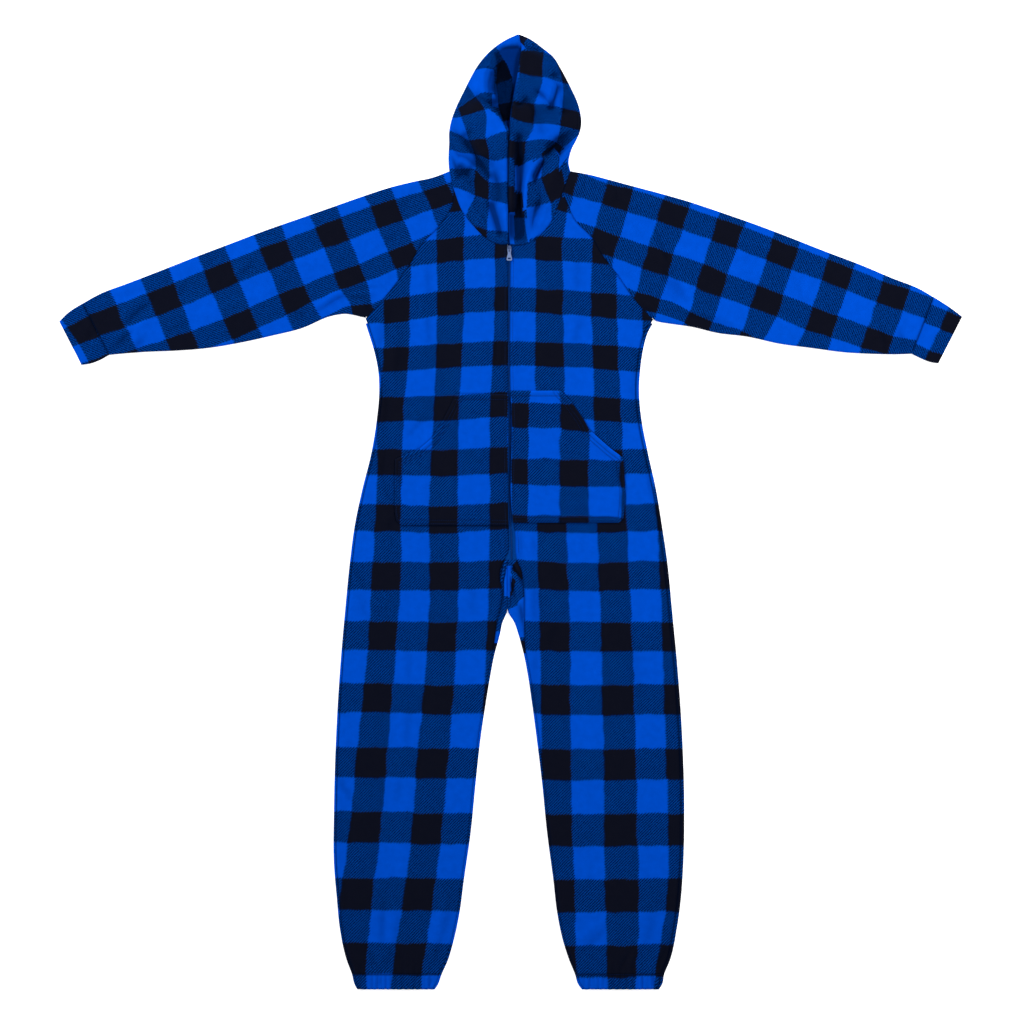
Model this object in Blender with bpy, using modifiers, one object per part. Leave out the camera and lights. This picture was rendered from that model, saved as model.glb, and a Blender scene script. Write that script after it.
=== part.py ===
"""Hooded one-piece fleece pyjama, laid out flat on its back.

Units are metres, +Z is up. The cloth lies on Z = 0 with its front facing up and
its hood toward +Y. X = 0, Y = 0 is the middle of its footprint. "left" is the
-X side and "right" the +X side, as seen from above with the hood at the top.

Each piece that is cut and sewn is one object: a wall of cloth through a grid of
points on the wall's middle, thickened with a Solidify modifier. Where a tube of
cloth lies flat, its wall turns over along the outline in a half circle.
"""
import math

import bmesh
import bpy
import numpy as np

MM = 0.001

# ---------------------------------------------------------------- cloth
CLOTH = 2.0 * MM            # thickness of the fleece
SEAM_GAP = 0.3 * MM         # between the edges of two pieces that are sewn together
FOLD_RADIUS = 2.4 * MM      # of the wall's middle where a layer turns over
ARC_STEPS = 3               # straight steps round such a turn
CROWN = 0.9 * MM            # how far the upper layer bellies up between its edges
HALF_GAP = SEAM_GAP / 2
CORNER_RELIEF = 0.8 * MM    # gap's half width where a seam crosses a fold or a corner

LOWER = CLOTH / 2                       # height of the lower layer's middle
UPPER = LOWER + 2 * FOLD_RADIUS         # height of the upper layer's middle
ARC_INSET = FOLD_RADIUS + CLOTH / 2     # from the outline to the turn's centre

# ---------------------------------------------------------------- body and legs
CENTRE = -6.0 * MM          # x of the centre back seam and of the crotch
ARMPIT_LEVEL = 355 * MM
CROTCH_LEVEL = -103 * MM    # where the zip ends and the two legs part
HEM_LEVEL = -898.5 * MM
CASING_LEVEL = -871 * MM    # stitching of the turned-up elastic casing
ELASTIC_LEVEL = -884 * MM   # middle of that casing
BODY_ROWS = 12              # between the armpits and the crotch
LEG_ROWS = 19               # between the crotch and the casing
FRONT_STEPS = 10            # across a front panel
BACK_STEPS = 5              # across the flat part of a back panel
LEAST_RETURN = 4.0 * MM     # outline to the seam on top, where it is nearest
SIDE_RETURN = {"left": LEAST_RETURN, "right": 6.5 * MM}
GATHER_HEIGHT = 0.6 * MM    # of the elastic's puckers in the ankle casing
GATHER_REACH = 30 * MM      # how far the puckers run up the leg from the casing

# ---------------------------------------------------------------- zip
TAPE_WIDTH = 26 * MM
TAPE_THICKNESS = 0.8 * MM
CHAIN_WIDTH = 2.6 * MM
CHAIN_HEIGHT = 1.4 * MM
ZIP_TOP = 500 * MM
ZIP_BOTTOM = -98 * MM
ZIP_ROWS = 16
SLIDER_WIDTH = 8.3 * MM
SLIDER_LENGTH = 13.4 * MM
SLIDER_THICKNESS = 1.6 * MM
SLIDER_TOP = 501.2 * MM     # y of the slider's upper end
BAIL_WIDTH = 1.4 * MM
BAIL_LENGTH = 9.4 * MM
BAIL_WALL = 1.0 * MM
BAIL_WINDOW = 2.5 * MM      # height inside the bail
PULL_THICKNESS = 1.2 * MM
PULL_BAR = 1.4 * MM         # width of the bar that turns inside the bail
PULL_EYE = (2.4 * MM, 3.7 * MM)
PULL_HOLE = (5.4 * MM, 2.9 * MM)
PULL_HOLE_PLACE = 16.5 * MM
PULL_DROOP = math.radians(4)
SLIDER_BASE = UPPER + CLOTH / 2 + SEAM_GAP
BAIL_MIDDLE = SLIDER_TOP - 1.6 * MM - BAIL_LENGTH / 2
HINGE_LEVEL = 493.6 * MM
HINGE_HEIGHT = SLIDER_BASE + SLIDER_THICKNESS + 1.3 * MM
# Half width of the pull tab at each distance from its hinge, in millimetres.
PULL_SHAPE = (
    (2.8, 0.0), (3.15, 0.3), (3.15, 3.0), (2.9, 5.5), (2.9, 8.0), (3.9, 12.0),
    (4.9, 16.0), (5.25, 18.0), (4.9, 19.6), (3.6, 20.5), (2.0, 20.7),
)

# ---------------------------------------------------------------- cuffs and pockets
CUFF_STEPS = 7
CUFF_GAP = 0.5 * MM         # at the seam to the sleeve, whose two walls slope apart
CUFF_CROWN = 0.5            # share of the upper layer's usual belly
POCKET_STEPS = 5

# ---------------------------------------------------------------- hood
HOOD_OPENING = 1.2 * MM     # between the two front edges
HOOD_CROWN = 1.3
HOOD_BEND = (1.0, 0.7, 0.45, 0.25, 0.1)   # of the neck seam, in the first sections
HOOD_BACK_STEPS = 3
HOOD_CORNER = 0.22          # share of the lower layer outside the neck point

# ---------------------------------------------------------------- colours
FLEECE_BLUE = (0.005, 0.08, 0.65)
TAPE_BLUE = (0.01, 0.10, 0.55)
COIL_BLUE = (0.008, 0.05, 0.30)
METAL_GREY = (0.62, 0.66, 0.74)


class Table:
    """Rows of measured places in millimetres, read by column name in metres."""

    def __init__(self, columns, rows):
        self.columns = columns.split()
        self.values = np.array(rows, dtype=float) * MM

    def column(self, name):
        return self.values[:, self.columns.index(name)]

    def points(self, name):
        """The points held in the columns NAME_x and NAME_y."""
        return np.stack([self.column(name + "_x"), self.column(name + "_y")], axis=1)

    def read(self, name, y):
        """One column as a smooth curve over the column y."""
        return float(smooth(self.column("y"), self.column(name), y))


def smooth(knots, values, place):
    """Cubic curve through values at knots, with the slope of its neighbours."""
    knots = np.asarray(knots, dtype=float)
    values = np.asarray(values, dtype=float)
    if knots[0] > knots[-1]:
        knots, values = knots[::-1], values[::-1]
    slopes = np.gradient(values, knots, axis=0)
    place = min(max(place, knots[0]), knots[-1])
    i = min(int(np.searchsorted(knots, place, side="right")) - 1, len(knots) - 2)
    span = knots[i + 1] - knots[i]
    t = (place - knots[i]) / span
    return ((2 * t ** 3 - 3 * t ** 2 + 1) * values[i] + (t ** 3 - 2 * t ** 2 + t) * span * slopes[i]
            + (3 * t ** 2 - 2 * t ** 3) * values[i + 1] + (t ** 3 - t ** 2) * span * slopes[i + 1])


def along(points, steps):
    """Points at equal distances along a smooth curve through the given points."""
    points = np.asarray(points, dtype=float)
    reach = np.concatenate([[0], np.cumsum(np.linalg.norm(np.diff(points, axis=0), axis=1))])
    return [smooth(reach, points, reach[-1] * k / steps) for k in range(steps + 1)]


# The two side outlines, from the armpits to the hems.
SIDES = Table("y left right", [
    (360, -275, 270), (335, -267, 257), (313, -260, 251), (268, -250, 244),
    (222, -248, 242), (177, -252, 246), (109, -263, 259), (41, -280, 274),
    (-26, -294, 285), (-94, -303, 295), (-185, -312, 304), (-302, -322, 315),
    (-422, -329, 323), (-558, -333, 327), (-664, -333, 325), (-724, -328, 321),
    (-784, -322, 313), (-844, -309, 300), (-871, -299, 289), (-890, -294, 285),
    (-899, -289, 279),
])
# The legs' inner outlines below the crotch, which ends at y = -188.
INSIDES = Table("y left right", [
    (-103, -6, -6), (-170, -6, -6), (-188, -7, -5), (-207, -15, 6), (-230, -20, 14),
    (-271, -31, 25), (-302, -37, 31), (-362, -47, 40), (-422, -56, 48), (-513, -66, 59),
    (-603, -75, 68), (-694, -88, 80), (-754, -96, 87), (-814, -109, 100),
    (-844, -118, 110), (-871, -130, 121), (-890, -137, 127), (-899, -143, 134),
])
# How far the back panel comes round onto the top along the inside of each leg.
INSIDE_RETURNS = Table("y left right", [
    (-103, 12, 24), (-125, 15, 28), (-144, 11, 31), (-163, 10, 31), (-185, 14, 31),
    (-207, 11, 20), (-230, 9, 11), (-271, 4, 4), (-362, 4, 4), (-899, 4, 4),
])
# Edges of the two fronts along the zip.
ZIP_EDGES = Table("y left right", [
    (505, -5.0, -0.4), (220, -5.0, -0.4), (180, -5.0, 1.5), (0, -5.0, 2.0),
    (-50, -5.0, 7.0), (-80, -6.0, 9.0), (-103, -10.0, 11.0),
])
# Raglan seams from the neck to the armpit, with the level where each row of
# the body's grid meets the zip and the centre back.
RAGLAN = {
    "left": Table("seam_x seam_y zip_y back_y", [
        (-108, 611, 502, 596), (-109, 584, 483, 564), (-137, 537, 462, 530),
        (-167, 506, 441, 496), (-192, 464, 420, 462), (-214, 434, 400, 428),
        (-241, 400, 379, 394), (-273, 364, 360, 360),
    ]),
    "right": Table("seam_x seam_y zip_y back_y", [
        (99, 605, 502, 596), (108, 579, 483, 564), (119, 554, 462, 530),
        (155, 515, 441, 496), (174, 483, 420, 462), (202, 446, 400, 428),
        (234, 400, 379, 394), (268, 362, 360, 360),
    ]),
}
# Neck seams on the front, from the zip to the shoulder.
NECK = {
    "left": Table("seam_x seam_y", [
        (-5, 502), (-28, 506), (-48, 517), (-70, 539), (-92, 568), (-108, 611),
    ]),
    "right": Table("seam_x seam_y", [
        (-0.4, 502), (21, 503), (42, 511), (63, 529), (80, 554), (90, 581), (99, 605),
    ]),
}
# Sleeves from the cuff to the shoulder: the fold on top of the arm and the one
# under it. The last row ends at the hood and at the armpit.
SLEEVES = {
    "left": Table("fold_x fold_y under_x under_y", [
        (-806, 393, -756, 296), (-769, 413, -723, 299), (-718, 432, -680, 302),
        (-661, 454, -629, 304), (-595, 480, -569, 309), (-529, 505, -509, 319),
        (-463, 530, -450, 332), (-397, 553, -394, 346), (-337, 574, -348, 366),
        (-280, 594, -316, 373), (-228, 611, -296, 371), (-184, 622, -284, 368),
        (-147, 630, -278, 367), (-115, 642, -274, 366),
    ]),
    "right": Table("fold_x fold_y under_x under_y", [
        (796, 405, 755, 298), (764, 423, 722, 297), (715, 442, 677, 298),
        (658, 466, 626, 301), (592, 491, 566, 309), (526, 517, 506, 317),
        (460, 542, 447, 330), (394, 565, 391, 337), (334, 585, 345, 348),
        (278, 601, 312, 353), (225, 615, 291, 356), (181, 627, 280, 358),
        (146, 636, 274, 360), (112, 642, 269, 364),
    ]),
}
# How much of the raglan seam's bend each of the sleeve's last rows takes.
SLEEVE_BEND = {9: 0.05, 10: 0.15, 11: 0.35, 12: 0.65, 13: 1.0}
# Cuffs from just past the sleeve to the open end.
CUFFS = {
    "left": Table("fold_x fold_y under_x under_y", [
        (-818, 386, -774, 286), (-834, 375, -790, 280), (-850, 359, -808, 277),
    ]),
    "right": Table("fold_x fold_y under_x under_y", [
        (811, 396, 773, 289), (829, 384, 788, 283), (850, 368, 805, 280),
    ]),
}
# Hood sections: where each meets the front edge, the outline and the centre
# back. The first lies along the neck seam, the last along the seam over the tip.
HOOD = {
    "left": Table("front_x front_y rim_x rim_y back_x back_y", [
        (-5, 503, -115, 642, -6, 597), (-5, 533, -117, 658, -6, 620),
        (-5, 567, -117, 677, -6, 643), (-5, 601, -116, 696, -6, 665),
        (-5, 635, -116, 716, -6, 688), (-5, 669, -112, 737, -6, 711),
        (-4, 701, -105, 757, -5, 731), (-2, 729, -96, 777, -4, 752),
        (0, 754, -87, 795, -3, 773), (4, 777, -76, 817, 0, 792),
        (8, 799, -62, 841, 4, 811), (12, 822, -44, 863, 8, 828),
        (15, 844, -24, 880, 12, 844), (18, 859, -6, 891, 17, 858),
        (20, 869, 5, 896, 20, 868), (20, 878, 14, 900, 20, 878),
    ]),
    "right": Table("front_x front_y rim_x rim_y back_x back_y", [
        (-5, 503, 112, 642, -6, 597), (-5, 533, 109, 658, -6, 620),
        (-5, 567, 111, 672, -6, 643), (-5, 601, 116, 687, -6, 665),
        (-5, 635, 124, 702, -6, 688), (-5, 669, 131, 719, -6, 711),
        (-4, 701, 133, 737, -5, 731), (-2, 729, 130, 757, -4, 752),
        (0, 754, 124, 776, -3, 773), (4, 777, 115, 795, 0, 792),
        (8, 799, 105, 815, 4, 811), (12, 822, 93, 837, 8, 828),
        (15, 844, 80, 857, 12, 844), (18, 859, 57, 876, 17, 858),
        (20, 869, 36, 891, 20, 868), (20, 878, 14, 900, 20, 878),
    ]),
}
# Outer edge of each pocket from its top, down the slanted opening and the side.
POCKETS = {
    "left": Table("y edge", [
        (221, -104), (202, -112), (171, -128), (139, -148), (119, -171), (107, -200),
        (99, -217), (70, -218), (35, -218), (0, -218), (-16, -215), (-25, -205),
    ]),
    "right": Table("y edge", [
        (228, 94), (208, 113), (177, 135), (156, 147), (141, 163), (119, 188),
        (102, 211), (70, 214), (35, 215), (0, 213), (-13, 211), (-20, 202),
    ]),
}
# Largest creases of the upper layer: middle, direction, half length, half width
# and height, which is negative in a trough. The angle is in degrees.
FOLD_COLUMNS = ("x", "y", "angle", "length", "width", "height")
FOLDS = [
    (-28, 795, 105, 42, 12, -1.4), (-60, 776, 110, 45, 16, 1.6),
    (52, 672, 48, 55, 11, 2.0), (66, 658, 48, 45, 9, -1.2),
    (15, 612, 92, 65, 8, -1.1), (-88, 640, 70, 30, 12, 1.2),
    (2, 612, 90, 60, 5, 1.0), (-26, 736, 138, 28, 7, 1.6),
    (-20, 756, 100, 20, 7, -1.2), (-70, 850, 125, 40, 14, 0.8),
    (-250, 405, 130, 40, 12, 0.8), (250, 400, 50, 40, 12, 0.8),
    (-640, 330, 60, 40, 14, 0.8), (640, 330, 120, 40, 14, 0.8),
    (-740, 345, 75, 30, 12, 0.9), (735, 345, 105, 30, 12, 0.9),
    (-150, -330, 95, 120, 24, 0.7), (150, -360, 85, 120, 24, 0.7),
    (-210, -640, 92, 110, 24, 0.7), (190, -660, 88, 110, 24, 0.7),
]


def crease(x, y):
    """Height that the creases add at one place."""
    total = 0.0
    for row in FOLDS:
        fold = dict(zip(FOLD_COLUMNS, row))
        turn = math.radians(fold["angle"])
        dx = x / MM - fold["x"]
        dy = y / MM - fold["y"]
        lengthwise = (dx * math.cos(turn) + dy * math.sin(turn)) / fold["length"]
        crosswise = (dy * math.cos(turn) - dx * math.sin(turn)) / fold["width"]
        total += fold["height"] * MM * math.exp(-lengthwise ** 2 - crosswise ** 2)
    return total


def upper(point, across=0.0, crown=1.0):
    """A point of the upper layer. across runs from 0 to 1 between its edges."""
    belly = CROWN * crown * 4 * across * (1 - across)
    return (point[0], point[1], UPPER + belly + crease(point[0], point[1]))


def lower(point):
    """A point of the lower layer, which lies flat."""
    return (point[0], point[1], LOWER)


def unit(vector):
    return np.asarray(vector, dtype=float) / np.linalg.norm(vector)


def turn_over(rim, outward):
    """The wall turning over at the outline, from the lower layer to the upper."""
    centre = np.asarray(rim) - ARC_INSET * unit(outward)
    points = []
    for k in range(ARC_STEPS + 1):
        angle = math.pi * k / ARC_STEPS - math.pi / 2
        place = centre + FOLD_RADIUS * math.cos(angle) * unit(outward)
        points.append((place[0], place[1], LOWER + FOLD_RADIUS * (1 + math.sin(angle))))
    return points


def between(start, end, steps):
    """Points at equal steps from start to end, with both ends."""
    start = np.asarray(start, dtype=float)
    end = np.asarray(end, dtype=float)
    return [start + (end - start) * k / steps for k in range(steps + 1)]


def set_back(points, distance):
    """The same polyline moved sideways, to its left, by a small distance."""
    points = np.asarray(points, dtype=float)
    steps = np.gradient(points, axis=0)
    sideways = np.stack([-steps[:, 1], steps[:, 0]], axis=1)
    sideways /= np.linalg.norm(sideways, axis=1)[:, None]
    return points + sideways * distance


SIGN = {"left": -1, "right": 1}


def raglan_seam(side, onto_sleeve):
    """The raglan seam from neck to armpit, moved a distance onto the sleeve."""
    return set_back(RAGLAN[side].points("seam"), SIGN[side] * onto_sleeve)


def neck_seam(side, onto_hood):
    """The front neck seam from zip to shoulder, moved a distance onto the hood."""
    return set_back(along(NECK[side].points("seam"), FRONT_STEPS), SIGN[side] * onto_hood)


def leg_levels():
    """Rows of the body below the armpits, from the top down."""
    body = np.linspace(ARMPIT_LEVEL, CROTCH_LEVEL, BODY_ROWS + 1)
    leg = np.linspace(CROTCH_LEVEL, CASING_LEVEL, LEG_ROWS + 1)[1:]
    return [*body, *leg, ELASTIC_LEVEL, HEM_LEVEL]


def gather(level, column):
    """Puckers of the elastic, which turn every other column into a ridge."""
    if level > CASING_LEVEL + GATHER_REACH:
        return 0.0
    return GATHER_HEIGHT * (1 if column % 2 else -1)


def side_seam(side, level):
    inset = SIDE_RETURN[side]
    return SIDES.read(side, level) - SIGN[side] * inset


def inner_seam(side, level):
    """Inner edge of a front panel: along the zip, then along the inside leg."""
    if level > CROTCH_LEVEL + MM:
        return ZIP_EDGES.read(side, level)
    inset = max(INSIDE_RETURNS.read(side, level), LEAST_RETURN)
    return INSIDES.read(side, level) + SIGN[side] * inset


def front_rows(side):
    """Grid of a front panel, from the neck to the hem and from the zip outward."""
    rows = []
    seam = raglan_seam(side, -HALF_GAP)
    neck = neck_seam(side, -HALF_GAP)
    neck_line = between(neck[0], neck[-1], FRONT_STEPS)
    zip_levels = RAGLAN[side].column("zip_y")
    corner = seam[0] - (0, CORNER_RELIEF)
    rows.append([upper(place) for place in (*neck[:-1], corner)])
    for r in range(1, len(seam)):
        inner = (ZIP_EDGES.read(side, zip_levels[r]), zip_levels[r])
        straight = between(inner, seam[r], FRONT_STEPS)
        bend = max(0.0, 1 - r / 4) ** 1.5
        row = []
        for k, point in enumerate(straight):
            place = point + (neck[k] - neck_line[k]) * bend
            row.append(upper(place, k / FRONT_STEPS, min(1.0, r / 3)))
        rows.append(row)
    for level in leg_levels():
        inner = (inner_seam(side, level) + SIGN[side] * HALF_GAP, level)
        outer = (side_seam(side, level) - SIGN[side] * HALF_GAP, level)
        row = []
        for k, point in enumerate(between(inner, outer, FRONT_STEPS)):
            x, y, z = upper(point, k / FRONT_STEPS)
            row.append((x, y, z + gather(level, k)))
        rows.append(row)
    return rows


def back_rows(side):
    """Grid of a back panel. Its columns run from the inside leg's seam on top,
    round the leg's inner outline, across the floor, and round the outer outline
    to the side seam. None stands where a row has no such column."""
    sign = SIGN[side]
    missing = [None] * ARC_STEPS
    rows = []
    seam = raglan_seam(side, -HALF_GAP)
    seam[0] -= (0, CORNER_RELIEF)
    centre = CENTRE + sign * HALF_GAP
    for r, level in enumerate(RAGLAN[side].column("back_y")):
        flat = [lower(p) for p in between((centre, level), seam[r], BACK_STEPS)]
        rows.append([None, *missing, *flat, *missing, None])
    for level in leg_levels():
        outward = (sign, 0)
        rim = (SIDES.read(side, level), level)
        outer_arc = turn_over(rim, outward)
        end = (side_seam(side, level) + sign * HALF_GAP, level)
        outer_return = upper(end)
        if level > CROTCH_LEVEL + MM:
            inner_return = None
            inner_arc = [*missing, lower((centre, level))]
        else:
            inner_rim = (INSIDES.read(side, level) + sign * HALF_GAP, level)
            inner_arc = turn_over(inner_rim, (-sign, 0))[::-1]
            inner_return = upper((inner_seam(side, level) - sign * HALF_GAP, level))
        flat = between(inner_arc[-1], outer_arc[0], BACK_STEPS)
        rows.append([inner_return, *inner_arc[:-1], *flat, *outer_arc[1:], outer_return])
    return rows


def bowed(start, end, seam, stop, bend):
    """Places from start to end, spaced like the seam's points and bent like it.

    The seam's last point lies short of stop. A bend of 1 gives its own points."""
    whole = np.vstack([seam, [stop]])
    reach = np.concatenate([[0], np.cumsum(np.linalg.norm(np.diff(whole, axis=0), axis=1))])
    places = []
    for point, share in zip(seam, reach / reach[-1]):
        offset = point - (whole[0] + (whole[-1] - whole[0]) * share)
        place = start + (end - start) * share + offset * bend
        places.append((point if bend == 1 else place, share))
    return places[1:]


def shoulder_line(side):
    """Direction of the short seam from the neck point out to the shoulder."""
    return unit(SLEEVES[side].points("fold")[-1] - RAGLAN[side].points("seam")[0])


def ring(beneath, over, places, crown):
    """A closed loop round a flattened tube: the turn under the arm, the upper
    layer, the turn on top of the arm, and the lower layer back to the start."""
    upper_points = [upper(place, share, crown) for place, share in places]
    lower_points = [lower(place) for place, share in places]
    return [*beneath, *upper_points, *over[::-1], *lower_points[::-1]]


def sleeve_rows(side):
    """Loops of a sleeve, from the cuff to the raglan seam."""
    folds = SLEEVES[side].points("fold")
    unders = SLEEVES[side].points("under")
    shoulder = shoulder_line(side)
    across = np.array([-shoulder[1], shoulder[0]]) * -SIGN[side]
    rows = []
    seam = raglan_seam(side, HALF_GAP)[::-1]
    for k, (fold, under) in enumerate(zip(folds, unders)):
        bend = SLEEVE_BEND.get(k, 0.0)
        outward = unit(fold - under)
        fold = fold + across * CORNER_RELIEF * bend
        over = turn_over(fold, outward * (1 - bend) + shoulder * bend)
        beneath = turn_over(under, -outward)
        start = np.array(beneath[-1][:2])
        end = np.array(over[-1][:2])
        places = bowed(start, end, seam, folds[-1], bend)
        rows.append(ring(beneath, over, places, 1 - bend))
    return rows


def cuff_rows(side):
    """Loops of a wrist cuff, from the sleeve's end to its own open end."""
    ends = np.array([SLEEVES[side].points(name)[0] for name in ("fold", "under")])
    across = unit(ends[0] - ends[1])
    fold, under = ends - np.array([-across[1], across[0]]) * SIGN[side] * CUFF_GAP
    folds = [fold, *CUFFS[side].points("fold")]
    unders = [under, *CUFFS[side].points("under")]
    rows = []
    for fold, under in zip(folds, unders):
        outward = unit(fold - under)
        over = turn_over(fold, outward)
        beneath = turn_over(under, -outward)
        start = np.array(beneath[-1][:2])
        end = np.array(over[-1][:2])
        shares = [k / CUFF_STEPS for k in range(1, CUFF_STEPS)]
        places = [(start + (end - start) * share, share) for share in shares]
        rows.append(ring(beneath, over, places, CUFF_CROWN))
    return rows


def hood_rows(side):
    """Sections of a hood panel, from the neck to the seam over the tip. Each
    runs from the front edge, over the outline, to the centre back."""
    sign = SIGN[side]
    fronts = HOOD[side].points("front")
    rims = HOOD[side].points("rim")
    backs = HOOD[side].points("back")
    neck = neck_seam(side, HALF_GAP)[::-1]
    rows = []
    for k in range(len(rims)):
        bend = HOOD_BEND[k] if k < len(HOOD_BEND) else 0.0
        front = fronts[k] + (sign * HOOD_OPENING / 2, 0)
        back = backs[k] + (sign * HALF_GAP, 0)
        rim = rims[k]
        outward = unit(rim - (front + back) / 2)
        if k == 0:
            outward = shoulder_line(side)
            rim = rim + np.array([outward[1], -outward[0]]) * -sign * CORNER_RELIEF
        if k == len(rims) - 1:
            outward = unit(rim - fronts[k])
            aside = np.array([outward[1], -outward[0]]) * sign * CORNER_RELIEF
            front, rim, back = fronts[k] + aside, rim + aside, backs[k] + aside
        arc = turn_over(rim, outward)
        start = np.array(arc[-1][:2])
        stop = neck[-1] - (0, 0.1 * MM)
        places = bowed(start, front, np.vstack([[rims[0]], neck]), stop, bend)
        top = [upper(place, share, HOOD_CROWN * min(1, k / 2)) for place, share in places]
        corner = neck[0] if k == 0 else start + (back - start) * HOOD_CORNER
        flat = [lower(p) for p in between(corner, back, HOOD_BACK_STEPS)]
        rows.append([*top[::-1], *arc[::-1], *flat])
    return rows


def pocket_rows(side):
    """Grid of a patch pocket, made from the front panel's points, moved up."""
    sign = SIGN[side]
    rows = []
    for level, edge in POCKETS[side].values:
        start = inner_seam(side, level) + sign * HALF_GAP
        seam = side_seam(side, level) - sign * HALF_GAP
        row = []
        for x, y in between((start, level), (edge, level), POCKET_STEPS):
            place = upper((x, y), (x - start) / (seam - start))
            row.append((x, y, place[2] + CLOTH + SEAM_GAP))
        rows.append(row)
    return rows


# ---------------------------------------------------------------- objects
def material(name, colour, roughness, metallic=0.0):
    made = bpy.data.materials.new(name)
    made.use_nodes = True
    shader = made.node_tree.nodes["Principled BSDF"]
    shader.inputs["Base Color"].default_value = (*colour, 1.0)
    shader.inputs["Roughness"].default_value = roughness
    shader.inputs["Metallic"].default_value = metallic
    return made


def place_in(collection, name, mesh, finish):
    made = bpy.data.objects.new(name, mesh)
    made.data.materials.append(finish)
    collection.objects.link(made)
    return made


def cloth(collection, name, rows, finish, thickness=CLOTH, closed=False):
    """A wall of cloth through a grid of points, or through loops if closed."""
    shape = bmesh.new()
    corners = [[None if point is None else shape.verts.new(point) for point in row]
               for row in rows]
    for row, following in zip(corners, corners[1:]):
        columns = len(row) if closed else len(row) - 1
        for c in range(columns):
            d = (c + 1) % len(row)
            quad = (row[c], row[d], following[d], following[c])
            if None not in quad:
                shape.faces.new(quad)
    mesh = bpy.data.meshes.new(name)
    shape.to_mesh(mesh)
    shape.free()
    mesh.shade_smooth()
    made = place_in(collection, name, mesh, finish)
    wall = made.modifiers.new("Wall", "SOLIDIFY")
    wall.thickness = thickness
    wall.offset = 0
    return made


def bar(collection, name, path, width, height, finish):
    """A straight-sided bar along a path of middle points, broad side down."""
    shape = bmesh.new()
    loops = []
    for x, y, z in path:
        loops.append([shape.verts.new((x + dx * width / 2, y, z + dz * height / 2))
                      for dx, dz in ((-1, -1), (1, -1), (1, 1), (-1, 1))])
    for here, there in zip(loops, loops[1:]):
        for c in range(4):
            d = (c + 1) % 4
            shape.faces.new((here[c], here[d], there[d], there[c]))
    shape.faces.new(loops[0][::-1])
    shape.faces.new(loops[-1])
    bmesh.ops.recalc_face_normals(shape, faces=shape.faces)
    mesh = bpy.data.meshes.new(name)
    shape.to_mesh(mesh)
    shape.free()
    return place_in(collection, name, mesh, finish)


def plate(collection, name, outlines, thickness, finish):
    """A flat plate with the first outline as its edge and the rest as holes."""
    curve = bpy.data.curves.new(name, "CURVE")
    curve.dimensions = "2D"
    curve.fill_mode = "BOTH"
    curve.extrude = thickness / 2
    for outline in outlines:
        spline = curve.splines.new("POLY")
        spline.points.add(len(outline) - 1)
        for point, (x, y) in zip(spline.points, outline):
            point.co = (x, y, 0, 1)
        spline.use_cyclic_u = True
    return place_in(collection, name, curve, finish)


def rounded(width, length, middle, corner, steps=3):
    """A rectangle with round corners, centred at (0, middle)."""
    points = []
    for quarter, (sx, sy) in enumerate(((1, 1), (-1, 1), (-1, -1), (1, -1))):
        for k in range(steps + 1):
            angle = math.pi / 2 * (quarter + k / steps)
            x = sx * (width / 2 - corner) + corner * math.cos(angle)
            y = sy * (length / 2 - corner) + corner * math.sin(angle)
            points.append((x, middle + y))
    return points


def as_mesh(curve_object):
    """The same shape as a mesh object, with its caps welded, ready to be joined."""
    bpy.context.view_layer.update()
    seen = curve_object.evaluated_get(bpy.context.evaluated_depsgraph_get())
    mesh = bpy.data.meshes.new_from_object(seen)
    shape = bmesh.new()
    shape.from_mesh(mesh)
    bmesh.ops.remove_doubles(shape, verts=shape.verts, dist=0.00001)
    shape.to_mesh(mesh)
    shape.free()
    made = bpy.data.objects.new(curve_object.name + "_mesh", mesh)
    made.matrix_world = curve_object.matrix_world.copy()
    for collection in curve_object.users_collection:
        collection.objects.link(made)
    bpy.data.objects.remove(curve_object)
    return made


def zip_middle(level):
    return (ZIP_EDGES.read("left", level) + ZIP_EDGES.read("right", level)) / 2


def zip_tape(collection, finish):
    """The zip's tape, sewn under both front edges."""
    height = UPPER - CLOTH / 2 - SEAM_GAP - TAPE_THICKNESS / 2
    path = [(zip_middle(y), y, height) for y in np.linspace(ZIP_TOP, ZIP_BOTTOM, ZIP_ROWS)]
    return bar(collection, "zip_tape", path, TAPE_WIDTH, TAPE_THICKNESS, finish)


def zip_chain(collection, finish):
    """The closed coil of the zip, as one plain bead between the front edges."""
    height = UPPER - CLOTH / 2 + CHAIN_HEIGHT / 2
    path = [(zip_middle(y), y, height) for y in np.linspace(ZIP_TOP, ZIP_BOTTOM, ZIP_ROWS)]
    return bar(collection, "zip_chain", path, CHAIN_WIDTH, CHAIN_HEIGHT, finish)


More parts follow.
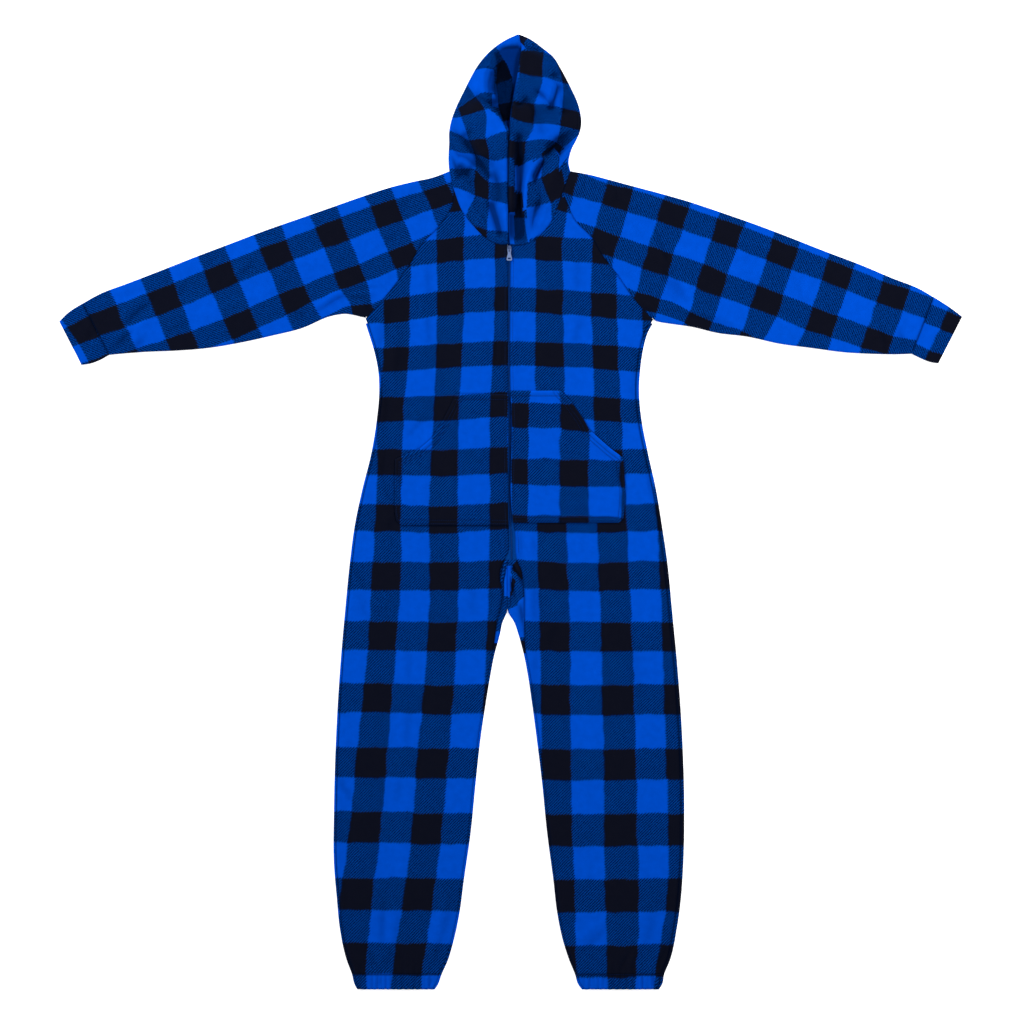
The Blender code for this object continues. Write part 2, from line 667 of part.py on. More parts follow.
def zip_slider(collection, cutters, finish):
    """The slider's top plate with its bail, an upright loop along the zip."""
    half = SLIDER_WIDTH / 2
    shape = ((0.4, 0.0), (0.8, -0.09), (1.0, -0.3), (1.0, -0.6), (0.78, -0.85), (0.7, -1.0))
    right = [(half * width, SLIDER_LENGTH * place) for width, place in shape]
    left = [(-x, y) for x, y in reversed(right)]
    slider = as_mesh(plate(collection, "slider_plate", [right + left], SLIDER_THICKNESS, finish))
    slider.name = "zip_slider"
    slider.location = (zip_middle(SLIDER_TOP), SLIDER_TOP, SLIDER_BASE + SLIDER_THICKNESS / 2)

    sunk = SLIDER_THICKNESS / 2
    height = sunk + BAIL_WINDOW + BAIL_WALL
    edge = rounded(BAIL_LENGTH, height, height / 2, 0.6 * MM)
    window = rounded(BAIL_LENGTH - 2 * BAIL_WALL, BAIL_WINDOW, sunk + BAIL_WINDOW / 2, 0.3 * MM)
    bail = as_mesh(plate(cutters, "slider_bail", [edge, window], BAIL_WIDTH, finish))
    bail.rotation_euler = (math.pi / 2, 0, math.pi / 2)
    bail.location = (slider.location.x, BAIL_MIDDLE, SLIDER_BASE + SLIDER_THICKNESS - sunk)
    bail.hide_render = True
    bail.display_type = "WIRE"
    joined = slider.modifiers.new("Bail", "BOOLEAN")
    joined.operation = "UNION"
    joined.object = bail
    return slider


def zip_pull(collection, finish):
    """The pull tab. Its origin is on its hinge, the bar that turns in the bail."""
    top = PULL_BAR / 2
    right = [(half * MM, -place * MM) for half, place in PULL_SHAPE]
    right[0] = (right[0][0], top)
    left = [(-x, y) for x, y in reversed(right)]
    eye = rounded(*PULL_EYE, -PULL_BAR / 2 - PULL_EYE[1] / 2, 0.4 * MM)
    hole = rounded(*PULL_HOLE, -PULL_HOLE_PLACE, 1.0 * MM)
    pull = plate(collection, "zip_pull", [right + left, eye, hole], PULL_THICKNESS, finish)
    pull.location = (zip_middle(HINGE_LEVEL), HINGE_LEVEL, HINGE_HEIGHT)
    pull.rotation_euler = (PULL_DROOP, 0, 0)
    return pull


def main():
    for old in list(bpy.data.objects):
        bpy.data.objects.remove(old)
    garment = bpy.data.collections.new("hooded_onesie_pyjama")
    cutters = bpy.data.collections.new("cutters")
    for collection in (garment, cutters):
        bpy.context.scene.collection.children.link(collection)

    fleece = material("fleece_check", FLEECE_BLUE, 0.95)
    tape_cloth = material("zip_tape_cloth", TAPE_BLUE, 0.8)
    coil = material("zip_coil", COIL_BLUE, 0.5)
    metal = material("zip_metal", METAL_GREY, 0.3, 1.0)

    for side in ("left", "right"):
        cloth(garment, "back_" + side, back_rows(side), fleece)
        cloth(garment, "front_" + side, front_rows(side), fleece)
        cloth(garment, "sleeve_" + side, sleeve_rows(side), fleece, closed=True)
        cloth(garment, "cuff_" + side, cuff_rows(side), fleece, closed=True)
        cloth(garment, "hood_" + side, hood_rows(side), fleece)
        cloth(garment, "pocket_" + side, pocket_rows(side), fleece)
    zip_tape(garment, tape_cloth)
    zip_chain(garment, coil)
    zip_slider(garment, cutters, metal)
    zip_pull(garment, metal)


main()
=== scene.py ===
"""Looks of the hooded fleece one-piece, laid out flat on its back.

Every cloth panel is modelled again over its solid, on the same flattened sections
but with a fine grid: soft creases, rolled seam edges and stitching.
"""
import functools
import math

import bpy
import numpy as np
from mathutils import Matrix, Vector
from mathutils.bvhtree import BVHTree


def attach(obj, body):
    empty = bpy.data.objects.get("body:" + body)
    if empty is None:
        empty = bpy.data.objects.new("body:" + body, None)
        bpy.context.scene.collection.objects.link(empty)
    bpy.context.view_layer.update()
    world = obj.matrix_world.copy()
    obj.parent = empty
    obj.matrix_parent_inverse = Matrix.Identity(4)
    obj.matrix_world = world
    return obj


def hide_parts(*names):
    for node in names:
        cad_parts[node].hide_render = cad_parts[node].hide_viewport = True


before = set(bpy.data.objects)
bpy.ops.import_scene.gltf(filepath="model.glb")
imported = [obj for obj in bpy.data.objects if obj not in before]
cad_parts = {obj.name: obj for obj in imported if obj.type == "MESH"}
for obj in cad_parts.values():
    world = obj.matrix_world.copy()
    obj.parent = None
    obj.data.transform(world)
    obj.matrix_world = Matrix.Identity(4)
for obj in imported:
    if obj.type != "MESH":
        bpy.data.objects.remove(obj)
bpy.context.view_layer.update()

MM = 0.001
SIDES_OF_IMAGE = ("left", "right")
SIGN = {"left": -1, "right": 1}

# ---------------------------------------------------------------- the cloth's build
CLOTH = 2.0 * MM            # thickness of the fleece
HALF_GAP = 0.2 * MM         # from a seam's line to each edge that is sewn there
CORNER_RELIEF = 0.15 * MM   # the same where a seam crosses a fold
FOLD_RADIUS = 2.4 * MM      # of the wall's middle where a layer turns over
ARC_STEPS = 7
LOWER = CLOTH / 2           # heights of the two layers' middles
UPPER = LOWER + 2 * FOLD_RADIUS
ARC_INSET = FOLD_RADIUS + CLOTH / 2
LEAST_ROOM = 0.15 * MM      # between the two layers in a crease
LOWEST_UPPER = LOWER + CLOTH + LEAST_ROOM
CROWN = 0.9 * MM            # belly of the upper layer
CUFF_CROWN = 0.5            # share of it that the cuffs have
GRID = 4.0 * MM             # size of the cloth's faces
BACK_GRID = 6.0 * MM        # the same for layers that lie flat underneath
TUCK_GRID = 2.2 * MM
CUFF_GRID = 3.0 * MM
HOOD_GRID = 2.1 * MM
POCKET_GRID = 2.0 * MM
FRONT_WIDTH = 300 * MM      # usual widths, for the number of faces across
HOOD_WIDTH = 130 * MM
# Points across the panels whose faces aren't counted from a width.
COLUMNS = {"back": 41, "return": 16, "sleeve": 71, "cuff": 31, "hood_back": 21, "pocket": 111}
SEWN_STEPS = np.array([0, 1.2, 2.6, 4.4]) * MM      # closer points next to a sewn edge
EVEN_AFTER = 1.4            # times the last of them, from where the steps are even
SEAM_DEPTH = 1.7 * MM       # how far a sewn edge sinks into its seam
SEAM_WIDTH = 2.0 * MM       # half width of that groove
SEAM_FALL = 1.5             # how sharply it ends
SEAM_PUFF = 0.5 * MM        # the nap's swelling beside the seam
PUFF_PLACE = 6.0 * MM
PUFF_WIDTH = 4.0 * MM
CENTRE = -6.0 * MM          # x of the centre back seam and of the crotch
ARMPIT_LEVEL = 355 * MM
LEGS_PART = -190 * MM       # level under which the floor shows between the legs
LEGS_TOUCH = 0.15 * MM      # how far each is pressed in above it
CROTCH_LEVEL = -90 * MM
TUCKS_END = -260 * MM       # of the small tucks between the legs
HEM_LEVEL = -898.5 * MM
CASING_LEVEL = -871 * MM

# ---------------------------------------------------------------- the photo's frame
PIXEL = 1.885 * MM          # one of its pixels on the cloth
MIDDLE_COLUMN = 510.75      # its column at X = 0
MIDDLE_ROW = 512.0          # its row at Y = 0
IMAGE_SIZE = 1024


class Table:
    """Rows of named numbers, in millimetres unless another unit is given."""

    def __init__(self, columns, rows, unit=MM):
        self.columns = columns.split()
        self.values = np.array(rows, dtype=float) * unit

    def column(self, name):
        return self.values[:, self.columns.index(name)]

    def points(self, name):
        return np.stack([self.column(name + "_x"), self.column(name + "_y")], axis=1)

    def read(self, name, y):
        return smooth(self.column("y"), self.column(name), y)


def smooth(knots, values, places):
    """Cubic curve through values at knots, with the slope of its neighbours."""
    knots = np.asarray(knots, dtype=float)
    values = np.asarray(values, dtype=float)
    if knots[0] > knots[-1]:
        knots, values = knots[::-1], values[::-1]
    places = np.clip(np.asarray(places, dtype=float), knots[0], knots[-1])
    slopes = np.gradient(values, knots, axis=0)
    i = np.clip(np.searchsorted(knots, places, side="right") - 1, 0, len(knots) - 2)
    span = knots[i + 1] - knots[i]
    t = (places - knots[i]) / span
    if values.ndim > 1:
        t = t[..., None]
        span = span[..., None]
    return ((2 * t ** 3 - 3 * t ** 2 + 1) * values[i] + (t ** 3 - 2 * t ** 2 + t) * span * slopes[i]
            + (3 * t ** 2 - 2 * t ** 3) * values[i + 1] + (t ** 3 - t ** 2) * span * slopes[i + 1])


def reach_along(points):
    """Length of a line of several straight parts up to each of its points."""
    steps = np.linalg.norm(np.diff(points, axis=0), axis=1)
    return np.concatenate([[0], np.cumsum(steps)])


def along(points, shares):
    """Places at shares of the length of a smooth curve through points."""
    points = np.asarray(points, dtype=float)
    reach = reach_along(points)
    return smooth(reach / reach[-1], points, shares)


def between(start, end, shares):
    """Places at shares of the straight way from start to end."""
    return start + (end - start) * shares[:, None]


def arch(shares):
    """0 at both ends and 1 in the middle."""
    return 4 * shares * (1 - shares)


def bell(distance, width, fall=2):
    """1 at no distance, falling away to both sides over a width."""
    return np.exp(-np.abs(distance / width) ** fall)


# ---------------------------------------------------------------- outlines, as in the part
SIDES = Table("y left right", [
    (360, -275, 270), (335, -267, 257), (313, -260, 251), (268, -250, 244),
    (222, -248, 242), (177, -252, 246), (109, -263, 259), (41, -280, 274),
    (-26, -294, 285), (-94, -303, 295), (-185, -312, 304), (-302, -322, 315),
    (-422, -329, 323), (-558, -333, 327), (-664, -333, 325), (-724, -328, 321),
    (-784, -322, 313), (-844, -309, 300), (-871, -299, 289), (-890, -294, 285),
    (-899, -289, 279),
])
INSIDES = Table("y left right", [
    (-103, -6, -6), (-170, -6, -6), (-188, -7, -5), (-207, -15, 6), (-230, -20, 14),
    (-271, -31, 25), (-302, -37, 31), (-362, -47, 40), (-422, -56, 48), (-513, -66, 59),
    (-603, -75, 68), (-694, -88, 80), (-754, -96, 87), (-814, -109, 100),
    (-844, -118, 110), (-871, -130, 121), (-890, -137, 127), (-899, -143, 134),
])
# Inner edges of the two fronts: along the zip, then down the inside of the legs.
FRONT_EDGES = Table("y left right", [
    (505, -5.0, -0.4), (220, -5.0, -0.4), (180, -5.0, 1.5), (0, -5.0, 2.0),
    (-50, -3.5, 8.5), (-75, -4.5, 9), (-92, -13, 12), (-107, -19, 19), (-124, -21, 23),
    (-144, -17, 25), (-163, -17, 26), (-185, -21, 26), (-207, -26, 26), (-230, -29, 26),
    (-271, -35, 29), (-302, -41, 35), (-362, -51, 44), (-422, -60, 52), (-513, -70, 63),
    (-603, -79, 72), (-694, -92, 84), (-754, -100, 91), (-814, -113, 104),
    (-844, -122, 114), (-871, -134, 125), (-890, -141, 131), (-899, -147, 138),
])
# How far in from the outline the fronts' side seams lie.
SIDE_RETURN = {"left": 4.0 * MM, "right": 6.5 * MM}
RAGLAN = {
    "left": Table("seam_x seam_y", [
        (-108, 611), (-109, 584), (-137, 537), (-167, 506), (-192, 464), (-214, 434),
        (-241, 400), (-273, 364),
    ]),
    "right": Table("seam_x seam_y", [
        (99, 605), (108, 579), (119, 554), (155, 515), (174, 483), (202, 446), (234, 400),
        (268, 362),
    ]),
}
# Levels of the zip's edges and of the centre back seam across from those places.
MIDDLE_LEVELS = Table("zip back", [
    (502, 596), (483, 564), (462, 530), (441, 496), (420, 462), (400, 428), (379, 394),
    (360, 360),
])
NECK = {
    "left": Table("seam_x seam_y", [
        (-5, 502), (-28, 506), (-48, 517), (-70, 539), (-92, 568), (-108, 611),
    ]),
    "right": Table("seam_x seam_y", [
        (-0.4, 502), (21, 503), (42, 511), (63, 529), (80, 554), (90, 581), (99, 605),
    ]),
}
SLEEVES = {
    "left": Table("fold_x fold_y under_x under_y", [
        (-806, 393, -756, 296), (-769, 413, -723, 299), (-718, 432, -680, 302),
        (-661, 454, -629, 304), (-595, 480, -569, 309), (-529, 505, -509, 319),
        (-463, 530, -450, 332), (-397, 553, -394, 346), (-337, 574, -348, 366),
        (-280, 594, -316, 373), (-228, 611, -296, 371), (-184, 622, -284, 368),
        (-147, 630, -278, 367), (-115, 642, -274, 366),
    ]),
    "right": Table("fold_x fold_y under_x under_y", [
        (796, 405, 755, 298), (764, 423, 722, 297), (715, 442, 677, 298),
        (658, 466, 626, 301), (592, 491, 566, 309), (526, 517, 506, 317),
        (460, 542, 447, 330), (394, 565, 391, 337), (334, 585, 345, 348),
        (278, 601, 312, 353), (225, 615, 291, 356), (181, 627, 280, 358),
        (146, 636, 274, 360), (112, 642, 269, 364),
    ]),
}
# How much of the raglan seam's bend the sleeve's last rows take.
SLEEVE_BENDS = np.array([0, 0, 0, 0, 0, 0, 0, 0, 0, .05, .15, .35, .65, 1])
CUFFS = {
    "left": Table("fold_x fold_y under_x under_y", [
        (-818, 386, -774, 286), (-834, 375, -790, 280), (-850, 359, -808, 277),
    ]),
    "right": Table("fold_x fold_y under_x under_y", [
        (811, 396, 773, 289), (829, 384, 788, 283), (850, 368, 805, 280),
    ]),
}
# Where both hood panels have their front edge and their centre back seam, from the neck
# to the tip, and where each has its outline.
HOOD_MIDDLE = Table("front_x front_y back_x back_y", [
    (-5, 503, -6, 597), (-5, 533, -6, 620), (-5, 567, -6, 643), (-5, 601, -6, 665),
    (-5, 635, -6, 688), (-5, 669, -6, 711), (-4, 701, -5, 731), (-2, 729, -4, 752),
    (0, 754, -3, 773), (4, 777, 0, 792), (8, 799, 4, 811), (12, 822, 8, 828),
    (15, 844, 12, 844), (18, 859, 17, 858), (20, 869, 20, 868), (20, 878, 20, 878),
])
HOOD_RIM = {
    "left": Table("rim_x rim_y", [
        (-115, 642), (-117, 658), (-117, 677), (-116, 696), (-116, 716), (-112, 737),
        (-105, 757), (-96, 777), (-87, 795), (-76, 817), (-62, 841), (-44, 863), (-24, 880),
        (-6, 891), (5, 896), (14, 900),
    ]),
    "right": Table("rim_x rim_y", [
        (112, 642), (109, 658), (111, 672), (116, 687), (124, 702), (131, 719), (133, 737),
        (130, 757), (124, 776), (115, 795), (105, 815), (93, 837), (80, 857), (57, 876),
        (36, 891), (14, 900),
    ]),
}
HOOD_OPENING = 1.2 * MM     # between the two front edges
PANELS_TOUCH = 0.12 * MM    # how far each hood panel is pressed in at the tip
# How much of the neck seam's bend the hood's first rows take.
HOOD_BENDS = np.array([1, .7, .45, .25, .1] + [0] * 11)
HOOD_CORNER = 0.22          # share of the lower layer's width that its first face spans
POCKETS = {
    "left": Table("y edge", [
        (221, -104), (202, -112), (171, -128), (139, -148), (119, -171), (107, -200),
        (99, -217), (70, -218), (35, -218), (0, -218), (-16, -215), (-25, -205),
    ]),
    "right": Table("y edge", [
        (228, 94), (208, 113), (177, 135), (156, 147), (141, 163), (119, 188),
        (102, 211), (70, 214), (35, 215), (0, 213), (-13, 211), (-20, 202),
    ]),
}

# ---------------------------------------------------------------- creases
CREASE_GAIN = 1.3           # creases are so much deeper than their tables
SLEEVE_GAIN = 1.35          # the sleeves' and the crotch's by that much again
CREASE_FALL = 1.6           # how sharply they fall off to their sides
CREASE_SHADE = 0.22         # painted shade in a deep crease
DEEP_CREASE = 1.6 * MM
RIDGE_LIGHT = 0.4           # share of that painted shade that ridges are painted lighter by
TUCK_SHADE = 3.0            # times as dark is the painted shade of the tucks between the legs
SEAM_RULES = 0.1            # painted seam shade above which a crease's painted shade and highlight give way
TUCK_SEAM_RULES = 0.2


def creases(x, y, rows):
    """Height that ridges, and troughs where negative, add at many places. A row has a
    crease's middle, its direction in degrees, half length, half width and height."""
    total = np.zeros_like(x)
    for cx, cy, angle, length, width, height in rows:
        turn = math.radians(angle)
        dx = x / MM - cx
        dy = y / MM - cy
        lengthwise = (dx * math.cos(turn) + dy * math.sin(turn)) / length
        crosswise = np.abs(dy * math.cos(turn) - dx * math.sin(turn)) / width
        total += height * MM * np.exp(-lengthwise ** 2 - crosswise ** CREASE_FALL)
    return CREASE_GAIN * total


def seam_or_crease(painted_shade_and_light, relief, rules=SEAM_RULES, gain=1.0):
    """Painted shade of a seam or, where none is near, painted shade in creases and a
    weaker painted highlight on ridges."""
    depth = np.clip(-relief / DEEP_CREASE, -1, 1)
    shade = CREASE_SHADE * np.where(depth > 0, depth, RIDGE_LIGHT * depth)
    return np.where(painted_shade_and_light > rules, painted_shade_and_light, gain * shade)


CHEST_CREASES = [
    (-156, 437, 92, 38, 7, -1.3), (-166, 440, 92, 40, 9, 0.9),
    (-155, 343, 93, 34, 7, -1.2), (-168, 345, 92, 40, 10, 0.9),
    (-237, 345, 76, 36, 8, -1.4), (-212, 288, 84, 46, 10, -1.5),
    (-224, 290, 86, 44, 9, 1.0), (-235, 195, 90, 44, 8, -1.3),
    (-43, 301, 92, 22, 3.4, -1.0), (-29, 305, 90, 26, 3.6, -1.1),
    (-15, 301, 90, 26, 3.4, -1.0), (13, 301, 90, 24, 3.6, -1.0),
    (-36, 303, 91, 24, 4, 0.8), (-22, 303, 90, 24, 4, 0.8),
    (127, 443, 88, 34, 8, -0.9), (126, 343, 80, 36, 9, -1.0),
    (112, 345, 82, 36, 9, 0.8), (236, 292, 124, 30, 6, -1.7),
    (226, 298, 124, 30, 7, 1.2), (252, 350, 96, 22, 6, -1.4),
    (232, 240, 84, 34, 8, -1.0), (240, 192, 70, 28, 9, -0.9),
    (-160, 136, 46, 24, 8, 1.3), (-178, 160, 50, 28, 6, -1.0),
    (258, 98, 96, 18, 5, -1.7), (262, 51, 98, 20, 5, -1.6),
    (-240, 90, 84, 34, 6, -1.5), (-232, 40, 110, 36, 6, -1.4),
    (-248, 66, 88, 44, 8, 1.1), (-226, -26, 60, 14, 8, -1.2),
    (18, -64, 88, 30, 5, -1.2), (34, -60, 90, 30, 6, 1.0), (44, -66, 92, 26, 5, -0.9),
    (150, 250, 94, 60, 16, 0.7), (-96, 250, 88, 60, 16, 0.7), (60, 380, 92, 60, 20, 0.6),
]
LEG_CREASES = [
    (-284, -125, 112, 26, 5, -1.2), (-277, -182, 104, 24, 6, -1.1),
    (47, -176, 90, 38, 9, -2.0), (33, -180, 90, 34, 6, 1.4),
    (46, -292, 88, 34, 8, -1.1), (80, -232, 70, 24, 8, -1.0),
    (-192, -293, 90, 36, 7, -0.9), (-205, -295, 90, 36, 10, 0.8),
    (-194, -405, 88, 34, 8, -0.9), (-206, -410, 90, 40, 10, 0.7),
    (-312, -524, 118, 30, 6, -1.3), (-213, -530, 80, 20, 9, -0.8),
    (-241, -775, 86, 44, 7, -1.6), (-226, -778, 84, 40, 9, 1.1),
    (-214, -785, 82, 36, 6, -1.2), (-122, -775, 74, 40, 9, -1.3),
    (-136, -770, 76, 36, 9, 0.9), (-262, -840, 116, 26, 6, -1.4),
    (-250, -838, 106, 26, 6, 1.1), (-232, -842, 70, 24, 6, -1.3),
    (-140, -836, 76, 24, 5, -1.3), (-152, -838, 80, 24, 6, 1.0),
    (148, -788, 36, 40, 8, 1.0), (158, -806, 44, 36, 8, -1.2),
    (212, -850, 60, 24, 5, -1.5), (224, -846, 64, 24, 6, 1.1),
    (236, -842, 68, 24, 5, -1.2), (286, -836, 66, 30, 6, -1.6),
    (274, -838, 68, 28, 6, 1.1), (262, -790, 82, 40, 9, -1.0),
    (-150, -330, 95, 120, 24, 0.7), (150, -360, 85, 120, 24, 0.7),
    (-210, -640, 92, 110, 24, 0.7), (190, -660, 88, 110, 24, 0.7),
    (-290, -640, 88, 90, 12, 0.8), (300, -560, 92, 90, 12, 0.8),
    (-70, -170, 80, 40, 8, -0.8), (90, -90, 84, 40, 10, -0.7),
    (-150, -886, 68, 9, 2.5, -1.5), (269, -885, 88, 10, 2.5, -1.6), (-246, -884, 96, 9, 3, -1.0),
    (205, -884, 80, 9, 3, -1.0), (238, -300, 96, 60, 12, -0.7), (232, -480, 84, 60, 12, 0.7),
]
BODY_CREASES = CHEST_CREASES + LEG_CREASES
SLEEVE_CREASES = [
    (-702, 373, 42, 30, 6, -2.6), (-712, 388, 42, 30, 8, 1.4), (-690, 358, 42, 30, 8, 1.3),
    (-728, 324, 46, 24, 6, -2.2), (-738, 334, 46, 24, 7, 1.2), (-698, 314, 60, 14, 7, -1.8),
    (-618, 418, 62, 22, 7, -0.9), (-501, 451, 48, 26, 5, -1.1), (-508, 458, 48, 26, 6, 0.9),
    (-560, 480, 54, 20, 6, -0.9), (-397, 371, 30, 14, 8, -1.3), (-430, 424, 40, 24, 7, -0.8),
    (-627, 347, 20, 20, 7, -0.9), (-332, 396, 30, 34, 5, -1.6), (-338, 405, 30, 34, 6, 1.1),
    (-290, 404, 4, 26, 4, -1.5), (-284, 412, 6, 26, 4, 1.0), (-280, 420, 8, 26, 4, -1.2),
    (-268, 388, 100, 20, 5, -1.4), (-256, 474, 48, 20, 5, -1.0), (-248, 482, 48, 20, 5, 0.8),
    (-228, 512, 46, 20, 5, -0.9), (-200, 575, 60, 26, 7, -0.8), (-152, 607, 20, 24, 7, -1.4),
    (-148, 618, 18, 22, 6, 1.0), (-118, 628, 60, 12, 4, -1.6), (-470, 500, 22, 90, 12, 0.8),
    (-600, 400, 24, 90, 14, 0.7), (-520, 395, 20, 80, 10, 0.7), (-360, 480, 20, 80, 12, 0.8),
    (147, 606, 34, 16, 5, -1.4), (138, 598, 36, 18, 5, 1.0), (128, 594, 40, 18, 4, -1.2),
    (203, 591, 32, 22, 5, -1.1), (208, 600, 30, 22, 6, 0.8), (285, 498, 112, 32, 4, -1.9),
    (276, 494, 112, 32, 6, 1.1), (295, 443, 104, 18, 6, -1.2), (316, 419, 120, 20, 12, -1.4),
    (330, 424, 118, 24, 9, 1.2), (262, 376, 130, 14, 4, -1.6), (270, 368, 132, 14, 4, 1.2),
    (256, 366, 120, 12, 4, -1.6), (350, 368, 168, 40, 6, -1.2), (352, 378, 168, 40, 7, 0.9),
    (400, 350, 160, 30, 7, -0.9), (455, 425, 122, 24, 7, -0.8), (540, 420, 118, 26, 7, -0.8),
    (600, 455, 126, 24, 7, 0.8), (700, 330, 104, 26, 7, -1.3), (690, 336, 104, 26, 7, 1.0),
    (736, 326, 112, 22, 6, -1.3), (470, 500, 160, 90, 12, 0.8), (600, 400, 158, 90, 14, 0.7),
    (380, 470, 160, 80, 12, 0.8), (520, 360, 164, 80, 10, 0.7),
]
# Small tucks of the backs' edges between the legs, where the zip ends.
CROTCH_CREASES = [
    (-10.5, -112, 78, 26, 1.8, -3.0), (-13.8, -114, 78, 26, 1.8, 2.0),
    (-16.6, -112, 77, 24, 1.6, -2.4), (-8.5, -136, 94, 22, 3, 1.6),
    (-3.5, -160, 90, 20, 2.4, -3.4), (2.5, -140, 106, 18, 3.4, -2.6),
    (4, -106, 60, 8, 4, -2.4), (9, -100, 130, 12, 3, 1.6), (10, -128, 118, 20, 4, 1.8),
    (17, -124, 116, 20, 3, -1.8), (14, -158, 100, 22, 5, 1.0), (20, -190, 100, 30, 5, -1.2),
    (-15, -160, 84, 26, 2.4, -1.8), (-20, -176, 82, 34, 2.6, 1.2), (-25, -190, 80, 30, 3, -1.4),
]
CUFF_CREASES = [
    (-790, 327, 60, 14, 7, -1.6), (-800, 345, 60, 20, 8, 0.8), (-812, 300, 40, 10, 5, -1.0),
    (800, 318, 100, 14, 5, -1.2), (790, 330, 104, 16, 6, 0.8), (812, 350, 112, 16, 7, -0.8),
]
# Puckers where the shoulders meet the hood, and small creases of its right panel.
HOOD_CREASES = [
    (-112, 650, 24, 12, 4, -2.4), (-108, 660, 30, 12, 4, 1.8), (-102, 640, 40, 12, 4, -2.2),
    (-98, 652, 64, 12, 3.5, 1.6), (-92, 640, 70, 14, 3.5, -2.0), (40, 740, 20, 26, 9, -1.2),
]
# The hood's folds. Each has its height in millimetres, its half widths to the left and
# to the right of its line, and the line from the top down, in the photo's pixels.
HOOD_FOLDS = {
    "left": [
        # inside the opening, deep under the outer roll
        (-8.5, 9, 9, [(511, 54), (509, 66), (507, 82), (506, 100), (507, 120)]),
        (-8.0, 4, 4, [(498, 54), (504, 53.5), (511, 54), (518, 51)]),
        (-6.0, 4, 5, [(503, 62), (500, 69), (497, 78), (495.5, 92)]),
        (-4.0, 4, 4, [(514, 56), (514, 66), (513, 76)]),
        (-5.0, 4, 5, [(496, 104), (503, 112), (508, 124)]),
        (3.0, 3, 3, [(503, 108), (505, 116), (506, 124)]),
        (2.6, 5, 4, [(503, 84), (507, 90), (509, 98)]),
        # the outer roll and the lip under it
        (3.0, 6, 4, [(497, 47), (505, 44), (514, 44)]),
        (4.0, 16, 5, [(490, 55), (484, 70), (482, 84), (485, 98)]),
        (-3.0, 4, 4, [(489, 94), (488, 86), (491, 74)]),
        (-4.0, 4, 5, [(476, 99), (485, 102), (494, 106)]),
        (3.0, 3, 2.5, [(493, 94), (495.5, 101), (496, 108)]),
        (6.0, 14, 2.2, [(484, 108.5), (492, 113), (499, 119.5), (504, 127), (507.5, 135)]),
        # the side and the neck
        (-4.4, 5, 4, [(467, 143), (473, 153), (482, 165), (489, 176)]),
        (2.8, 7, 5, [(478, 146), (484, 156), (492, 170)]),
        (-3.0, 3.5, 3.5, [(451, 134), (460, 137), (470, 133)]),
        (-3.0, 3, 5, [(449, 157), (455, 156), (463, 157), (475, 166)]),
        (2.0, 5, 3, [(452, 150), (462, 151), (472, 157)]),
        (-4.0, 3, 3, [(455, 170), (460, 167), (467, 175)]),
        (-3.6, 3, 3, [(458, 178), (462, 173), (470, 170)]),
        (-2.6, 5, 5, [(492, 168), (497, 182), (499, 200)]),
        (-4.8, 3.5, 4.5, [(491, 206), (496, 220), (500, 234)]),
        (2.6, 5, 3, [(504, 205), (505.5, 218), (506, 236)]),
        (-2.4, 5, 5, [(470, 190), (478, 208), (486, 226)]),
        (1.8, 8, 8, [(462, 184), (470, 204), (480, 222)]),
    ],
    "right": [
        # the front lip, then small creases of the broad upper side
        (4.0, 2.4, 6, [(520, 50), (517, 66), (514.5, 90), (512, 108)]),
        (3.0, 2.4, 5, [(512, 108), (510, 135), (509.4, 156)]),
        (-3.2, 3, 3, [(524, 50), (535, 50.5), (546, 53)]),
        (-3.4, 2.6, 3, [(559, 60), (556, 67), (553, 76)]),
        (2.2, 4, 3, [(553, 58), (550, 66), (548, 74)]),
        (-3.4, 3.5, 3.5, [(538, 93), (544, 98), (551, 108)]),
        (2.2, 4, 3, [(552, 88), (549, 98), (545, 108)]),
        (-3.0, 2.5, 2.5, [(558, 84), (555, 96), (552, 108)]),
        (-2.6, 2.5, 2.5, [(563, 72), (563, 92), (563, 114)]),
        (-3.8, 3, 3, [(512, 103), (518, 106), (526, 100)]),
        (-2.4, 3, 3, [(529, 104), (534, 112), (533, 122)]),
        (-5.0, 5, 4, [(519, 138), (518.5, 150), (519, 162)]),
        # the pit above the shoulder, and what runs out from it
        (-7.0, 4, 4, [(551, 148), (556, 146), (560, 142)]),
        (-5.0, 4, 4, [(559, 144), (562, 150), (566, 146), (570, 139)]),
        (-3.4, 3, 3, [(559, 140), (567, 134), (577, 129)]),
        (-4.4, 2.4, 3, [(556, 149), (561, 157), (566, 168), (569, 178)]),
        (3.4, 3, 3, [(552, 150), (557, 158), (561, 168)]),
        (2.8, 4, 5, [(570, 148), (571, 154), (568, 162)]),
        (-7.5, 3, 3.4, [(554, 147), (547, 155), (540, 165), (534, 176)]),
        (6.5, 2.8, 3.4, [(544, 158.5), (534, 168), (527.5, 180), (525, 194), (525, 212)]),
        (-4.0, 2.6, 3, [(541, 164), (536, 172), (533.5, 182)]),
        (3.6, 9, 9, [(556, 160), (554, 172), (548, 186)]),
        # the front strip and the trough beside it
        (2.6, 2.6, 2.6, [(511, 160), (511, 190), (511, 206)]),
        (-3.0, 3, 3, [(511.5, 216), (511.5, 232), (511, 248)]),
        (-7.0, 3.4, 4.4, [(519, 160), (519.5, 176), (519, 205), (518, 238)]),
        (2.4, 3, 5, [(528, 214), (530, 226), (533, 240)]),
        (-3.4, 3, 4, [(537, 205), (533, 216), (532, 228)]),
        (2.2, 5, 5, [(546, 208), (541, 224), (536, 238)]),
        (-3.0, 3, 3, [(521, 222), (523, 232), (525, 242)]),
        (-2.6, 3, 3, [(538, 188), (540, 198), (538, 208)]),
    ],
}
